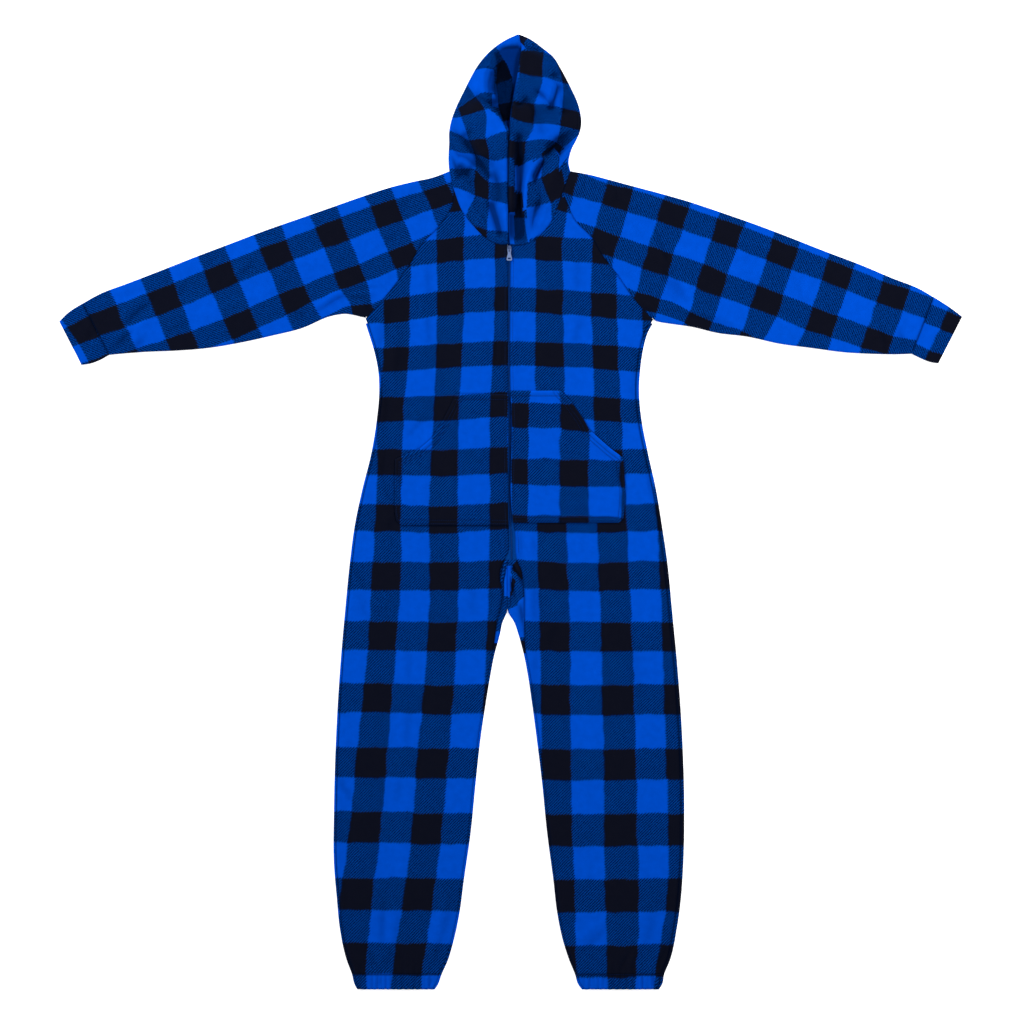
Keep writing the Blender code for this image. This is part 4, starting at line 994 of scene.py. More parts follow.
def front_points(side):
    """A front panel, with a painted shadow around its pocket."""
    plan, shares, belly = front_grid(side)
    x, y = plan[..., 0], plan[..., 1]
    width = np.linalg.norm(plan[:, -1] - plan[:, 0], axis=1)[:, None]
    from_zip = shares * width
    from_side = (1 - shares) * width
    from_neck = np.linalg.norm(plan - plan[:1], axis=2)
    from_pocket = distance_to(pocket_outline(side), plan)
    relief = creases(x, y, BODY_CREASES) + gathers(x, y)
    z = UPPER + CROWN * belly[:, None] * arch(shares) + relief
    z += sewn(from_zip, from_side, from_neck) - CASING_DEPTH * casing_groove(y)
    # Painted shade in the seams, at the zip edge, along the casing, around the pocket and in
    # creases, and painted highlight on ridges.
    painted_shade_and_light = np.maximum.reduce([seam(from_side, from_neck), ZIP_EDGE_SHADE * seam(from_zip),
                                   casing_groove(y),
                                   POCKET_SHADE * bell(from_pocket, POCKET_SHADE_WIDTH)])
    return upper_layer(x, y, z, seam_or_crease(painted_shade_and_light, relief))


def upper_strip(start, end_x, level, shares):
    """The back's edge lying on top, from a turn to its seam with the front."""
    x = (start[0] + (end_x - start[0]) * shares)[1:]
    y = np.full(len(x), level)
    tucks = SLEEVE_GAIN * creases(x, y, CROTCH_CREASES)
    z = UPPER + tucks + sewn(end_x - x) + gathers(x, y)
    # Painted shade in the seam, along the casing and in the tucks, and painted highlight on their
    # ridges.
    painted_shade_and_light = np.maximum(seam(end_x - x), casing_groove(y))
    return upper_layer(x, y, z, seam_or_crease(painted_shade_and_light, tucks, TUCK_SEAM_RULES, TUCK_SHADE))


def back_points(side):
    """A back panel: the inside leg's return, the floor and the side's return.
    Missing places are not a number."""
    sign = SIGN[side]
    raglan, _ = body_seam_lines(side)
    centre = CENTRE + sign * HALF_GAP
    reach = reach_along(raglan)
    flat_shares = np.linspace(0, 1, COLUMNS["back"])
    returns = np.linspace(0, 1, COLUMNS["return"])
    missing_side = np.full((ARC_STEPS + len(returns) - 1, 4), np.nan)
    rows = []
    for at in steps_along(0, reach[-1], BACK_GRID):
        inner = np.array([centre, smooth(reach, MIDDLE_LEVELS.column("back"), at)])
        flat = between(inner, smooth(reach, raglan, at), flat_shares)
        rows.append(np.vstack([missing_side, floor_strip(flat), missing_side]))
    levels = [steps_along(ARMPIT_LEVEL, CROTCH_LEVEL + GRID, BACK_GRID),
              steps_along(CROTCH_LEVEL, TUCKS_END, TUCK_GRID),
              steps_along(TUCKS_END, HEM_LEVEL, BACK_GRID)[1:]]
    for level in np.concatenate(levels):
        inner_end, outer_end = front_span(side, level, -HALF_GAP)
        outer_arc = turn_over((SIDES.read(side, level), level), (sign, 0))
        outer_return = upper_strip(outer_arc[-1], outer_end, level, returns)
        if level > CROTCH_LEVEL:
            inner_part = missing_side
            start = np.array([centre, level])
        else:
            touching = sign * (HALF_GAP if level < LEGS_PART else -LEGS_TOUCH)
            inner_arc = turn_over((INSIDES.read(side, level) + touching, level), (-sign, 0))
            inner_return = upper_strip(inner_arc[-1], inner_end, level, returns)
            inner_part = np.vstack([inner_return[::-1], inner_arc[1:][::-1]])
            start = inner_arc[0, :2]
        flat = between(start, outer_arc[0, :2], flat_shares)
        rows.append(np.vstack([inner_part, floor_strip(flat), outer_arc[1:], outer_return]))
    return np.array(rows)


def sleeve_points(side):
    """Loops of a sleeve, from the cuff to the raglan seam."""
    fold_line = SLEEVES[side].points("fold")
    under_line = SLEEVES[side].points("under")
    raglan, _ = seam_lines(side, HALF_GAP)
    shoulder = shoulder_way(side)
    corner_relief = quarter_turn(shoulder) * -SIGN[side] * CORNER_RELIEF
    whole = np.vstack([raglan[::-1], [fold_line[-1]]])
    reach = reach_along(whole)
    shares = np.linspace(0, reach[-2] / reach[-1], COLUMNS["sleeve"])[1:]
    seam_plan = smooth(reach / reach[-1], whole, shares)
    offset = seam_plan - between(whole[0], whole[-1], shares)
    knots = np.arange(len(fold_line))
    arm = reach_along((fold_line + under_line) / 2)
    loops = []
    for at in graded(arm[-1]) * arm[-1]:
        place = smooth(arm, knots, at)
        fold = smooth(knots, fold_line, place)
        under = smooth(knots, under_line, place)
        bend = np.interp(place, knots, SLEEVE_BENDS)
        outward = unit(fold - under)
        over = turn_over(fold + corner_relief * bend, outward * (1 - bend) + shoulder * bend)
        beneath = turn_over(under, -outward)
        plan = between(beneath[-1][:2], over[-1][:2], shares) + offset * bend
        plan = bent_onto(seam_plan, plan, bend)
        x, y = plan[:, 0], plan[:, 1]
        from_seam = np.full(len(x), min(at, arm[-1] - at))
        relief = SLEEVE_GAIN * creases(x, y, SLEEVE_CREASES)
        z = UPPER + CROWN * (1 - bend) * arch(shares) + relief + sewn(from_seam)
        # Painted shade at the seams and in creases, and painted highlight on ridges.
        top = upper_layer(x, y, z, seam_or_crease(seam(from_seam), relief))
        loops.append(np.vstack([beneath, top, over[::-1], floor_strip(plan[::-2])]))
    return np.array(loops)


def cuff_points(side):
    """Loops of a cuff, from the sleeve's end to the hand."""
    ends = np.array([SLEEVES[side].points(name)[0] for name in ("fold", "under")])
    gap = quarter_turn(unit(ends[0] - ends[1])) * SIGN[side] * 2 * HALF_GAP
    fold_line = np.vstack([[ends[0] - gap], CUFFS[side].points("fold")])
    under_line = np.vstack([[ends[1] - gap], CUFFS[side].points("under")])
    length = reach_along(fold_line)[-1]
    shares = np.linspace(0, 1, COLUMNS["cuff"])[1:-1]
    loops = []
    for at in graded(length, step=CUFF_GRID):
        fold, under = along(fold_line, at), along(under_line, at)
        outward = unit(fold - under)
        over = turn_over(fold, outward)
        beneath = turn_over(under, -outward)
        plan = between(beneath[-1][:2], over[-1][:2], shares)
        x, y = plan[:, 0], plan[:, 1]
        from_sleeve = np.full(len(x), at * length)
        z = UPPER + CROWN * CUFF_CROWN * arch(shares)
        z += creases(x, y, CUFF_CREASES) + sewn(from_sleeve)
        # Painted shade at the seam with the sleeve.
        top = upper_layer(x, y, z, seam(from_sleeve))
        loops.append(np.vstack([beneath, top, over[::-1], floor_strip(plan[::-1])]))
    return np.array(loops)


HOOD_RISE = 10.0 * MM       # how far the hood's cloth stands up between its edges
BELLY_TOP = 0.55            # share of the way to the front edge where it stands highest
BELLY_DROP = 0.35           # share of its rise that it loses from there to the edge
HEM_ROLL = 4.5 * MM         # how far the edge of its opening turns down
HEM_ROLL_WIDTH = 2.2 * MM
HEM_SHADE_WIDTH = 1.5 * MM
FOLD_GAIN = 1.8             # the hood's folds are so much deeper than their table
FOLD_SHADE = 0.9            # painted shade at the bottom of a deep fold
FOLD_DARKEST = 0.95
FOLD_LIGHT = 0.16           # painted highlight on a high ridge
SHADY_DEPTH = 5.0 * MM
HOOD_SHOULDER = 13.0 * MM   # height from which the hood's ridges are held down
HOOD_HIGHEST = 20.0 * MM
NECK_END = 0.1 * MM         # how far the neck seam is carried on past the front edge
# Rows of the hood's table: where its panels start to close and over how many they do,
# over how many the cloth rises from the neck, and falls to the tip.
CLOSING_START = 9
CLOSING_ROWS = 3
RISING_ROWS = 4.5
TIP_ROWS = 2.2


def hood_belly(share):
    """Rise of the hood from its outline, at 0, to its front edge, at 1."""
    near = 1 - (1 - np.minimum(share, BELLY_TOP) / BELLY_TOP) ** 2
    far = np.maximum(share - BELLY_TOP, 0) / (1 - BELLY_TOP)
    return near - BELLY_DROP * far ** 2


def hood_top(side, plan, from_front, from_neck, rise, free):
    """The hood's upper layer over a section's plan, with its folds and the shade and highlights
    painted into them.
    """
    x, y = plan[:, 0], plan[:, 1]
    relief = free * FOLD_GAIN * MM * folds(plan, HOOD_FOLDS[side])
    z = UPPER + rise + relief + free * creases(x, y, HOOD_CREASES)
    z += sewn(from_neck) - HEM_ROLL * bell(from_front, HEM_ROLL_WIDTH)
    room = HOOD_HIGHEST - HOOD_SHOULDER
    held_down = room * np.tanh(np.maximum(z - HOOD_SHOULDER, 0) / room)
    # Painted shade in the folds' hollows and painted highlight on their ridges, more painted shade
    # where the cloth lies deep, and painted shade along the opening's edge and the neck seam.
    strength = 1 - bell(relief, SHADY_DEPTH)
    shady = strength * np.where(relief < 0, FOLD_SHADE, -FOLD_LIGHT)
    shady = np.minimum(shady + free * folds(plan, HOOD_PAINTED_SHADE[side]), FOLD_DARKEST)
    edge = np.maximum(bell(from_front, HEM_SHADE_WIDTH), seam(from_neck))
    painted_shade_and_light = np.where(edge > np.abs(shady), edge, shady)
    return upper_layer(x, y, np.minimum(z, HOOD_SHOULDER) + held_down, painted_shade_and_light)


def hood_points(side):
    """Sections of a hood panel, from the neck to the tip, front edge first."""
    sign = SIGN[side]
    fronts = HOOD_MIDDLE.points("front")
    backs = HOOD_MIDDLE.points("back")
    rims = HOOD_RIM[side].points("rim")
    neck = seam_lines(side, HALF_GAP)[1][::-1]
    shoulder = shoulder_way(side)
    whole = np.vstack([[rims[0]], neck, [neck[-1] - (0, NECK_END)]])
    reach = reach_along(whole)
    first = reach[1] / reach[-1]
    shares = first + (1 - first) * graded(HOOD_WIDTH, (False, True), HOOD_GRID)
    seam_plan = smooth(reach[1:] / reach[-1], whole[1:], shares)
    offset = seam_plan - between(whole[0], whole[-1], shares)
    knots = np.arange(len(fronts))
    height = reach_along(rims)
    rows = []
    for at in graded(height[-1], step=HOOD_GRID) * height[-1]:
        place = smooth(height, knots, at)
        shut = np.clip((place - CLOSING_START) / CLOSING_ROWS, 0, 1)
        opening = HOOD_OPENING / 2 * (1 - shut) - PANELS_TOUCH * shut
        back_gap = HALF_GAP * (1 - shut) - PANELS_TOUCH * shut
        front = smooth(knots, fronts, place) + (sign * opening, 0)
        back = smooth(knots, backs, place) + (sign * back_gap, 0)
        rim = smooth(knots, rims, place)
        bend = np.interp(place, knots, HOOD_BENDS)
        low = max(0.0, 1 - place)
        high = max(0.0, place - len(knots) + 2)
        outward = unit(rim - (front + back) / 2)
        outward = outward * (1 - low) + shoulder * low
        outward = outward * (1 - high) + unit(rims[-1] - fronts[-1]) * high
        corner_relief = quarter_turn(unit(outward)) * sign * CORNER_RELIEF
        front = front - corner_relief * high / 2
        back = back - corner_relief * high
        arc = turn_over(rim + corner_relief * (low - high), outward)
        start = arc[-1][:2]
        plan = bent_onto(seam_plan, between(start, front, shares) + offset * bend, bend)
        tip = min(1.0, (len(knots) - 1 - place) / TIP_ROWS)
        tip = tip * (2 - tip)
        ramp = min(1.0, place / RISING_ROWS)
        ramp = tip * ramp ** 2 * (3 - 2 * ramp)
        from_front = np.maximum((1 - shares) * np.linalg.norm(plan[-1] - plan[0]), 0)
        from_neck = np.full(len(plan), at)
        top = hood_top(side, plan, from_front, from_neck, ramp * HOOD_RISE * hood_belly(shares),
                       tip * min(1.0, place))
        corner = neck[0] * low + (start + (back - start) * HOOD_CORNER) * (1 - low)
        flat = between(corner, back, np.linspace(0, 1, COLUMNS["hood_back"]))
        rows.append(np.vstack([top[::-1], arc[::-1], floor_strip(flat)]))
    return np.array(rows)


def pocket_outline(side):
    """Outline of a pocket, from its top at the zip, out and down to its bottom there."""
    table = POCKETS[side]
    edge = np.column_stack([table.column("edge"), table.column("y")])
    top, bottom = [(front_span(side, y)[0], y) for y in (edge[0, 1], edge[-1, 1])]
    return np.vstack([[top], edge, [bottom]])


def pocket_parts(side):
    """Its top, its slanted opening and its other edges."""
    outline = pocket_outline(side)
    return outline[:2], outline[1:OPENING_END + 1], outline[OPENING_END:]


def pocket_points(side):
    """A patch pocket over the front panel, its zip edge first."""
    table = POCKETS[side]
    levels = table.column("y")
    rows = []
    for level in steps_along(levels[0], levels[-1], POCKET_GRID):
        inner, outer = front_span(side, level)
        edge = np.interp(-level, -levels, table.column("edge"))
        x = inner + (edge - inner) * np.linspace(0, 1, COLUMNS["pocket"])
        y = np.full(len(x), level)
        z = UPPER + CROWN * arch((x - inner) / (outer - inner)) + creases(x, y, BODY_CREASES)
        rows.append(np.column_stack([x, y, z + CLOTH + POCKET_LIFT]))
    grid = np.array(rows)
    distances = [distance_to(part, grid[..., :2]) for part in pocket_parts(side)]
    grooves = [distance - row for distance, stitches in zip(distances, POCKET_STITCHES)
               for row in stitches]
    groove = np.maximum.reduce([bell(distance, STITCH_WIDTH) for distance in grooves])
    nearest = np.minimum.reduce(distances)
    edge = bell(nearest, POCKET_ROLL_WIDTH)
    z = grid[..., 2] - STITCH_DEPTH * groove + POCKET_HEM * bell(nearest, POCKET_HEM_WIDTH)
    # Painted shade in the stitches' grooves, and a painted highlight on the rolled edges.
    return with_painted_shade(grid[..., 0], grid[..., 1], z - POCKET_ROLL * edge,
                     STITCH_SHADE * groove - POCKET_GLINT * edge)


# ---------------------------------------------------------------- meshes
def add_mesh(name, points, faces, finish):
    """A smooth mesh object in the scene."""
    mesh = bpy.data.meshes.new(name)
    mesh.from_pydata(points.tolist(), [], faces)
    mesh.shade_smooth()
    made = bpy.data.objects.new(name, mesh)
    bpy.context.scene.collection.objects.link(made)
    mesh.materials.append(finish)
    return made


def cloth_piece(name, grid, check, grain, closed, speckle):
    """A wall of cloth through a grid of points, with the check's chart on it. check
    gives u and v at the corners of many faces, grain is the cloth's own grid, and
    speckle is the share of the half-tone's lines that the nap hides."""
    rows, columns = grid.shape[:2]
    index = np.arange(rows * columns).reshape(rows, columns)
    right = np.roll(index, -1, axis=1) if closed else index[:, 1:]
    left = index if closed else index[:, :-1]
    quads = np.stack([left[:-1], right[:-1], right[1:], left[1:]], axis=-1).reshape(-1, 4)
    flat = grid.reshape(-1, 4)
    present = ~np.isnan(flat[:, 0])
    quads = quads[present[quads].all(axis=1)]
    used = np.unique(quads)
    number = np.full(len(flat), -1)
    number[used] = np.arange(len(used))
    quads = number[quads]
    made = add_mesh(name, flat[used, :3], quads.tolist(), FLEECE)
    # The seam chart holds the painted shade, negative where it is painted highlight, and the
    # speckle.
    painted_shade_and_light = flat[used][quads][..., [3, 3]]
    painted_shade_and_light[..., 1] = speckle
    charted = check(flat[used][quads][..., :2])
    woven = grain.reshape(-1, 2)[used][quads]
    for title, values in (("check", charted), ("grain", woven), ("seam", painted_shade_and_light)):
        layer = made.data.uv_layers.new(name=title)
        layer.data.foreach_set("uv", values.astype(np.float32).ravel())
    wall = made.modifiers.new("Wall", "SOLIDIFY")
    wall.thickness = CLOTH
    wall.offset = 0
    return made


# ---------------------------------------------------------------- materials
class Nodes:
    """Short way to add and join shader nodes of one material."""

    def __init__(self, name):
        self.material = bpy.data.materials.new(name)
        self.material.use_nodes = True
        self.tree = self.material.node_tree
        self.shader = self.tree.nodes["Principled BSDF"]

    def join(self, source, socket):
        if isinstance(source, (int, float, tuple)):
            socket.default_value = source
        else:
            self.tree.links.new(source, socket)

    def finish(self, inputs):
        for key, value in inputs.items():
            self.join(value, self.shader.inputs[key])

    def add(self, kind, inputs=(), **settings):
        node = self.tree.nodes.new(kind)
        for key, value in settings.items():
            setattr(node, key, value)
        for key, value in dict(inputs).items():
            self.join(value, node.inputs[key])
        return node

    def math(self, operation, *values):
        node = self.add("ShaderNodeMath", operation=operation)
        for socket, value in zip(node.inputs, values):
            self.join(value, socket)
        return node.outputs[0]

    def chart(self, name):
        """A UV map of the mesh, and its two axes."""
        chart = self.add("ShaderNodeUVMap", uv_map=name).outputs["UV"]
        axes = self.add("ShaderNodeSeparateXYZ", {"Vector": chart}).outputs
        return chart, axes["X"], axes["Y"]

    def mix(self, share, first, second):
        node = self.add("ShaderNodeMix", data_type="RGBA")
        self.join(share, node.inputs["Factor"])
        self.join(first, node.inputs["A"])
        self.join(second, node.inputs["B"])
        return node.outputs["Result"]

    def noise(self, place, scale, detail):
        """Noise about zero, from -0.5 to 0.5."""
        made = self.add("ShaderNodeTexNoise", {"Vector": place, "Scale": scale, "Detail": detail})
        return self.math("SUBTRACT", made.outputs["Fac"], 0.5)

    def step(self, value, middle, width):
        """0 below middle and 1 above it, with a soft edge of that width."""
        node = self.add("ShaderNodeMapRange", interpolation_type="SMOOTHSTEP")
        self.join(value, node.inputs["Value"])
        node.inputs["From Min"].default_value = middle - width / 2
        node.inputs["From Max"].default_value = middle + width / 2
        return node.outputs["Result"]

    def bump(self, height, strength, distance):
        node = self.add("ShaderNodeBump", {"Height": height, "Strength": strength,
                                           "Distance": distance})
        return node.outputs["Normal"]


BLUE = (0.0, 0.063, 0.515, 1)
BLACK = (0.0041, 0.0037, 0.0050, 1)
TWILL_DARK = (0.0, 0.0005, 0.012, 1)
TWILL_LIGHT = (0.0, 0.046, 0.285, 1)
SHEEN_TINT = (0.0, 0.2, 1.0, 1)
BAND_SOFT = 0.05            # width of the bands' soft edges, in bands
TWILL_PITCH = 3.9 * MM      # between the diagonal lines of the half-tone
TWILL_MIDDLE = 0.245        # a line's edge, from 0 between lines to 0.5 on a line
TWILL_SOFT = 0.12           # width of its soft edge
DOT_PITCH = 3.0 * MM        # between the dots that its lines are broken into
DOT_MIDDLE = 0.2
DOT_SOFT = 0.4
DOT_LIGHT = 0.45            # brightness of the dots above that of the line between them
LINE_LIGHT = 0.65
SPECK_LIGHT = 0.95          # of the nap's specks that hide the lines
SPECK_SOFT = 0.2
# Noises over the cloth: scale and detail.
RIPPLE = (34.0, 1.0)
FUZZ = (520.0, 2.0)
SPECKS = (470.0, 1.0)
CLOUDS = (75.0, 2.0)
FIBRES = (1400.0, 3.0)
NAP = (900.0, 4.0)
DENTS = (80.0, 2.0)
LINE_WAVER = 0.5            # how far ripple and fuzz push the lines aside, in pitches
DOT_WAVER = 0.7
LINE_FUZZ = 0.8             # how much the fuzz changes a line's brightness
# How far the twill, the ripple and the fuzz push the bands' edges aside, in bands.
EDGE_TWILL = 0.12
EDGE_RIPPLE = 0.12
EDGE_FUZZ = 0.05
CLOUD_SHADE = 0.26
FIBRE_SHADE = 0.30
SEAM_SHADE = 0.77           # how much darker the painted shade makes the cloth inside a seam, and in creases, folds and around the pockets
TWILL_HEIGHT = 0.5          # in the bump, beside a nap of 1
DENT_HEIGHT = 2.5
NAP_BUMP = 0.45
NAP_DEPTH = 0.7 * MM


def fleece():
    """Printed fleece: bands of blue and black, half-toned by a twill where one
    band of each colour crosses."""
    n = Nodes("fleece_check")
    _, *place = n.chart("check")
    grain, thread_x, thread_y = n.chart("grain")
    _, painted_shade_and_light, speckle = n.chart("seam")
    ripple = n.noise(grain, *RIPPLE)
    fuzz = n.noise(grain, *FUZZ)

    slant = n.math("SUBTRACT", thread_x, thread_y)
    slant = n.math("DIVIDE", slant, TWILL_PITCH * math.sqrt(2))
    slant = n.math("MULTIPLY_ADD", ripple, LINE_WAVER, slant)
    slant = n.math("MULTIPLY_ADD", fuzz, LINE_WAVER, slant)
    wave = n.math("PINGPONG", slant, 0.5)
    line = n.step(wave, TWILL_MIDDLE, TWILL_SOFT)
    across = n.math("ADD", thread_x, thread_y)
    across = n.math("DIVIDE", across, DOT_PITCH * math.sqrt(2))
    across = n.math("MULTIPLY_ADD", ripple, DOT_WAVER, across)
    dots = n.step(n.math("PINGPONG", across, 0.5), DOT_MIDDLE, DOT_SOFT)
    line = n.math("MULTIPLY", line, n.math("MULTIPLY_ADD", dots, DOT_LIGHT, LINE_LIGHT))
    line = n.math("MULTIPLY_ADD", fuzz, LINE_FUZZ, line)
    specks = n.math("MULTIPLY", n.step(n.noise(grain, *SPECKS), 0.0, SPECK_SOFT), SPECK_LIGHT)
    hidden = n.math("SUBTRACT", specks, line)
    line = n.math("MULTIPLY_ADD", hidden, speckle, line)
    half_tone = n.mix(line, TWILL_DARK, TWILL_LIGHT)

    aside = n.math("MULTIPLY", n.math("SUBTRACT", wave, 0.25), EDGE_TWILL)
    aside = n.math("MULTIPLY_ADD", ripple, EDGE_RIPPLE, aside)
    aside = n.math("MULTIPLY_ADD", fuzz, EDGE_FUZZ, aside)
    bands = []
    for axis in place:
        edge = n.math("SUBTRACT", n.math("ADD", axis, aside), 0.5)
        bands.append(n.step(n.math("PINGPONG", edge, 1.0), 0.5, BAND_SOFT))
    both = n.math("MULTIPLY", *bands)
    either = n.math("MAXIMUM", *bands)
    colour = n.mix(both, n.mix(either, BLACK, half_tone), BLUE)

    shade = n.math("MULTIPLY_ADD", n.noise(grain, *CLOUDS), CLOUD_SHADE, 1.0)
    shade = n.math("MULTIPLY_ADD", n.noise(grain, *FIBRES), FIBRE_SHADE, shade)
    # Painted shade darkens the colour, and painted highlight lightens it where the value is
    # negative.
    painted_shade_factor = n.math("MULTIPLY_ADD", painted_shade_and_light, -SEAM_SHADE, 1.0)
    shade = n.math("MULTIPLY", shade, painted_shade_factor)
    tint = n.add("ShaderNodeHueSaturation", {"Color": colour, "Value": shade})

    nap = n.math("MULTIPLY_ADD", wave, TWILL_HEIGHT, n.noise(grain, *NAP))
    nap = n.math("MULTIPLY_ADD", n.noise(grain, *DENTS), DENT_HEIGHT, nap)
    n.finish({"Base Color": tint.outputs["Color"], "Normal": n.bump(nap, NAP_BUMP, NAP_DEPTH),
              "Roughness": 1.0, "Specular IOR Level": 0.0, "Sheen Weight": 0.12,
              "Sheen Roughness": 0.6, "Sheen Tint": SHEEN_TINT})
    return n.material


GRAIN_DARK = 0.8            # share of a plain finish's colour where its grain is darkest
GRAIN_DEPTH = 0.3 * MM
TAPE_RIB = 1.5 * MM         # between the tape's ribs
TAPE_DEPTH = 0.4 * MM
TAPE_DARK = (0.0006, 0.018, 0.12, 1)
TAPE_BLUE = (0.0012, 0.056, 0.30, 1)


def simple(name, colour, roughness, metallic=0.0, gloss=0.1, noise=900.0, depth=0.15):
    """A plain finish with a fine grain in its bump and its colour."""
    n = Nodes(name)
    place = n.add("ShaderNodeTexCoord").outputs["Object"]
    grain = n.add("ShaderNodeTexNoise", {"Vector": place, "Scale": noise, "Detail": 3.0})
    grain = grain.outputs["Fac"]
    dark = tuple(c * GRAIN_DARK for c in colour[:3]) + (1,)
    n.finish({"Base Color": n.mix(grain, dark, colour), "Normal": n.bump(grain, depth, GRAIN_DEPTH),
              "Roughness": roughness, "Metallic": metallic, "Specular IOR Level": gloss})
    return n.material


def woven_tape():
    """Narrow tape: ribs along it, and a fine slanting weave."""
    n = Nodes("zip_tape_weave")
    place = n.add("ShaderNodeTexCoord").outputs["Object"]
    axes = n.add("ShaderNodeSeparateXYZ", {"Vector": place}).outputs
    rib = n.math("PINGPONG", n.math("DIVIDE", axes["X"], TAPE_RIB), 0.5)
    slant = n.math("ADD", axes["X"], axes["Y"])
    weave = n.math("PINGPONG", n.math("DIVIDE", slant, TAPE_RIB), 0.5)
    height = n.math("ADD", rib, weave)
    n.finish({"Base Color": n.mix(height, TAPE_DARK, TAPE_BLUE),
              "Normal": n.bump(height, 0.6, TAPE_DEPTH), "Roughness": 0.85,
              "Specular IOR Level": 0.0})
    return n.material


FLEECE = fleece()
TAPE = woven_tape()
COIL = simple("zip_coil_nylon", (0.001, 0.040, 0.22, 1), 0.5)
THREAD = simple("sewing_thread", (0.0015, 0.014, 0.075, 1), 0.8, noise=4000.0, depth=0.4)
METAL = simple("zip_metal_satin", (0.27, 0.38, 0.72, 1), 0.30, metallic=0.6, gloss=0.5,
               noise=2500.0, depth=0.05)
# A darker copy of the pull's metal: painted shade on the slider, which lies under the pull.
SLIDER_METAL_PAINTED_SHADE = simple("zip_metal_slider_painted_shade", (0.09, 0.14, 0.30, 1), 0.4, metallic=0.6, gloss=0.5,
                      noise=2500.0, depth=0.05)

# ---------------------------------------------------------------- the pieces
# The sleeves' cloth is turned a quarter from the body's, and then by the arm's slope.
ARM_ANGLE = {"left": 90 + 21.0, "right": 90 - 20.5}
HEIGHT_SHARES = (0.6, 0.4)  # of the height in the grain's two axes
# Share of the half-tone's lines that the nap hides.
SPECKLE = {"front": 0.25, "back": 0.25, "sleeve": 0.45, "cuff": 0.45, "hood": 0.55,
           "pocket": 0.15}


def cloth_grain(grid, angle):
    """The grain over a grid, turned by an angle in degrees. The height is counted in so
    that turns are not smeared."""
    turn = math.radians(angle)
    x, y, z = grid[..., 0], grid[..., 1], grid[..., 2]
    return np.stack([x * math.cos(turn) + y * math.sin(turn) + z * HEIGHT_SHARES[0],
                     y * math.cos(turn) - x * math.sin(turn) + z * HEIGHT_SHARES[1]], axis=-1)


sheets = {}
for side in SIDES_OF_IMAGE:
    body = functools.partial(body_check, side)
    arm = ARM_ANGLE[side]
    pocket = body if side == "left" else crossings(RIGHT_POCKET_CROSSINGS)
    panels = {
        "front": (front_points(side), zoned(body), 0.0),
        "back": (back_points(side), zoned(body, CROTCH_ZONES), 0.0),
        "sleeve": (sleeve_points(side), zoned(crossings(SLEEVE_CROSSINGS[side])), arm),
        "cuff": (cuff_points(side), zoned(crossings(CUFF_CROSSINGS[side])), arm),
        "hood": (hood_points(side), zoned(crossings(HOOD_CROSSINGS[side]), HOOD_ZONES[side]),
                 0.0),
        "pocket": (pocket_points(side), zoned(pocket), 0.0),
    }
    for kind, (grid, check, angle) in panels.items():
        node = kind + "_" + side
        sheets[node] = cloth_piece(node + "_cloth", grid, check, cloth_grain(grid, angle),
                                   closed=kind in ("sleeve", "cuff"), speckle=SPECKLE[kind])

# Each cloth piece is attached to the garment, and the part's solid of the same name is hidden.
for node, piece in sheets.items():
    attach(piece, "garment")
    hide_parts(node)

METAL_ROUNDING = 0.25 * MM
for node, finish in (("zip_tape", TAPE), ("zip_slider", SLIDER_METAL_PAINTED_SHADE), ("zip_pull", METAL)):
    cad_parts[node].data.materials.clear()
    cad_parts[node].data.materials.append(finish)
    if finish is not TAPE:
        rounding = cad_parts[node].modifiers.new("Edges", "BEVEL")
        rounding.width = METAL_ROUNDING
        rounding.segments = 2

# ---------------------------------------------------------------- thread and coil
STITCH_PITCH = 3.4 * MM
STITCH_LENGTH = 2.6 * MM
THREAD_RADIUS = 0.3 * MM
# A stitch's four points: along it, and over the cloth.
STITCH_RUN = np.array([-0.5, -0.22, 0.22, 0.5]) * STITCH_LENGTH
STITCH_RISE = np.array([-0.3, 0.12, 0.12, -0.3]) * MM
ABOVE_ALL = 100 * MM        # height from which the cloth is felt for
DEPTHS = bpy.context.evaluated_depsgraph_get()


def tubes(name, paths, radius, reference, finish, sides=5):
    """Many closed thin tubes in one mesh. paths holds the points of each, which never
    run along the reference direction."""
    paths = np.asarray(paths)
    direction = np.gradient(paths, axis=1)
    across = np.cross(direction, reference)
    across /= np.linalg.norm(across, axis=-1, keepdims=True)
    upward = np.cross(across, direction)
    upward /= np.linalg.norm(upward, axis=-1, keepdims=True)
    angles = (2 * np.pi * np.arange(sides) / sides)[:, None]
    ring = across[:, :, None] * np.cos(angles) + upward[:, :, None] * np.sin(angles)
    points = paths[:, :, None] + radius * ring
    index = np.arange(points[..., 0].size).reshape(points.shape[:-1])
    following = np.roll(index, -1, axis=2)
    quads = np.stack([index[:, :-1], following[:, :-1], following[:, 1:], index[:, 1:]], axis=-1)
    faces = quads.reshape(-1, 4).tolist() + index[:, 0, ::-1].tolist() + index[:, -1].tolist()
    made = add_mesh(name, points.reshape(-1, 3), faces, finish)
    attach(made, "garment")
    return made


def evenly(points, step):
    """Places at even steps along a line of several straight parts."""
    points = np.asarray(points, dtype=float)
    reach = reach_along(points)
    at = np.linspace(0, reach[-1], int(reach[-1] / step) + 1)
    return np.stack([np.interp(at, reach, points[:, k]) for k in (0, 1)], axis=1)


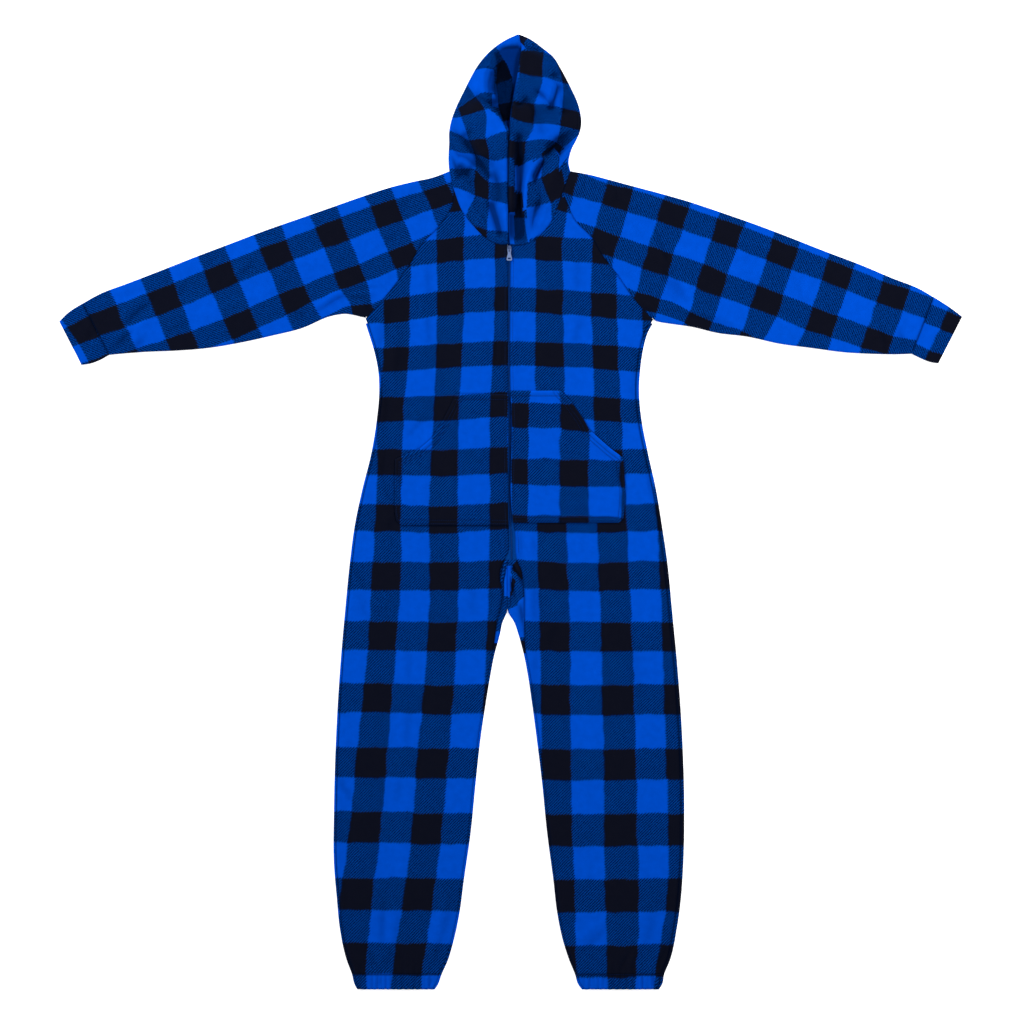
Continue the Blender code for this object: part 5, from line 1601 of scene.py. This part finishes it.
def stitched(name, hosts, lines):
    """Rows of stitches along lines, lying on whichever host piece is on top."""
    trees = [BVHTree.FromObject(sheets[host], DEPTHS) for host in hosts]
    down = Vector((0, 0, -1))
    paths = []
    for line in lines:
        places = evenly(line, STITCH_PITCH)
        steps = np.gradient(places, axis=0)
        steps /= np.linalg.norm(steps, axis=1)[:, None]
        for place, step in zip(places, steps):
            hits = [tree.ray_cast(Vector((*place, ABOVE_ALL)), down)[0] for tree in trees]
            tops = [hit.z for hit in hits if hit is not None]
            if not tops:
                continue
            plan = place + step * STITCH_RUN[:, None]
            paths.append(np.column_stack([plan, max(tops) + STITCH_RISE]))
    made = tubes(name, paths, THREAD_RADIUS, (0, 0, 1), THREAD)


ZIP_ROW = 5.5 * MM          # from each front's edge to the stitches along the zip
ZIP_ROW_ENDS = (492 * MM, -75 * MM)
ZIP_ROW_STEP = 20 * MM
CASING_ROW_INSET = 2 * MM   # from the front's edges to the casing's row of stitches
for side in SIDES_OF_IMAGE:
    lines = [set_back(evenly(part, STITCH_PITCH), -SIGN[side] * row)
             for part, rows in zip(pocket_parts(side), POCKET_STITCHES) for row in rows]
    stitched("pocket_" + side + "_stitches", ["pocket_" + side], lines)

    edge = [(front_span(side, y, HALF_GAP + ZIP_ROW)[0], y)
            for y in steps_along(*ZIP_ROW_ENDS, ZIP_ROW_STEP)]
    inner, outer = front_span(side, CASING_LEVEL, CASING_ROW_INSET)
    casing = [(outer, CASING_LEVEL), (inner, CASING_LEVEL)]
    stitched("front_" + side + "_stitches", ["front_" + side, "pocket_" + side], [edge, casing])

COIL_PITCH = 1.35 * MM
COIL_TOP = 496 * MM
COIL_BOTTOM = -92.5 * MM
COIL_WIRE = 0.33 * MM
ZIP_MIDDLE = Table("y middle", [
    (505, -2.7), (220, -2.7), (180, -1.75), (0, -1.5), (-50, 1.0), (-80, 1.5), (-103, 0.5),
])
# Half a turn of the coil: away from the zip's middle, and over the tape.
COIL_TURN = Table("across height", [
    (1.25, 5.0), (1.22, 5.5), (0.75, 5.95), (0.1, 5.9), (-0.35, 5.5),
])


def coil():
    """The closed zip's two coils, whose turns mesh like a comb's teeth."""
    turns = []
    for sign in (-1, 1):
        for y in np.arange(COIL_TOP - (sign + 1) * COIL_PITCH / 4, COIL_BOTTOM, -COIL_PITCH):
            x = ZIP_MIDDLE.read("middle", y) + sign * COIL_TURN.column("across")
            turns.append(np.column_stack([x, np.full(len(x), y), COIL_TURN.column("height")]))
    made = tubes("zip_coil", turns, COIL_WIRE, (0, 1, 0), COIL, sides=4)
    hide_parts("zip_chain")


coil()

# ---------------------------------------------------------------- floor, light, camera
FLOOR_SIZE = 60
FLOOR_DROP = 0.4 * MM
FLOOR_GLOW = 0.75           # lifts the paper under the garment to a clean white
WHITE = (1, 1, 1, 1)
PAPER = (0.95, 0.95, 0.95, 1)
bpy.ops.mesh.primitive_plane_add(size=FLOOR_SIZE, location=(0, 0, -FLOOR_DROP))
floor = bpy.context.object
floor.name = "floor"
paper = Nodes("pale_floor")
paper.finish({"Base Color": PAPER, "Roughness": 0.9, "Emission Color": WHITE,
              "Emission Strength": FLOOR_GLOW})
floor.data.materials.append(paper.material)

AMBIENT = 0.29
world = bpy.data.worlds.new("studio")
bpy.context.scene.world = world
world.use_nodes = True
world.node_tree.nodes["Background"].inputs["Color"].default_value = WHITE
world.node_tree.nodes["Background"].inputs["Strength"].default_value = AMBIENT
bpy.context.scene.view_settings.view_transform = "Standard"

CHEST = Vector((0, 0.3, 0))


def softbox(name, place, size, power):
    """A square lamp that faces the garment's chest."""
    light = bpy.data.lights.new(name, "AREA")
    light.shape = "SQUARE"
    light.size = size
    light.energy = power
    made = bpy.data.objects.new(name, light)
    made.location = place
    made.rotation_euler = (CHEST - Vector(place)).to_track_quat("-Z", "Y").to_euler()
    bpy.context.scene.collection.objects.link(made)


softbox("key", place=(-3.2, 1.6, 2.2), size=1.0, power=118)
softbox("fill", place=(1.8, 0.9, 2.6), size=0.8, power=74)

CAMERA_HEIGHT = 4.56
SENSOR_WIDTH = 36
camera_data = bpy.data.cameras.new("camera")
camera_data.sensor_width = SENSOR_WIDTH
camera_data.lens = CAMERA_HEIGHT * SENSOR_WIDTH / (IMAGE_SIZE * PIXEL)
camera_data.dof.use_dof = False
camera = bpy.data.objects.new("camera", camera_data)
camera.location = ((IMAGE_SIZE / 2 - MIDDLE_COLUMN) * PIXEL, 0, CAMERA_HEIGHT)
bpy.context.scene.collection.objects.link(camera)
bpy.context.scene.camera = camera
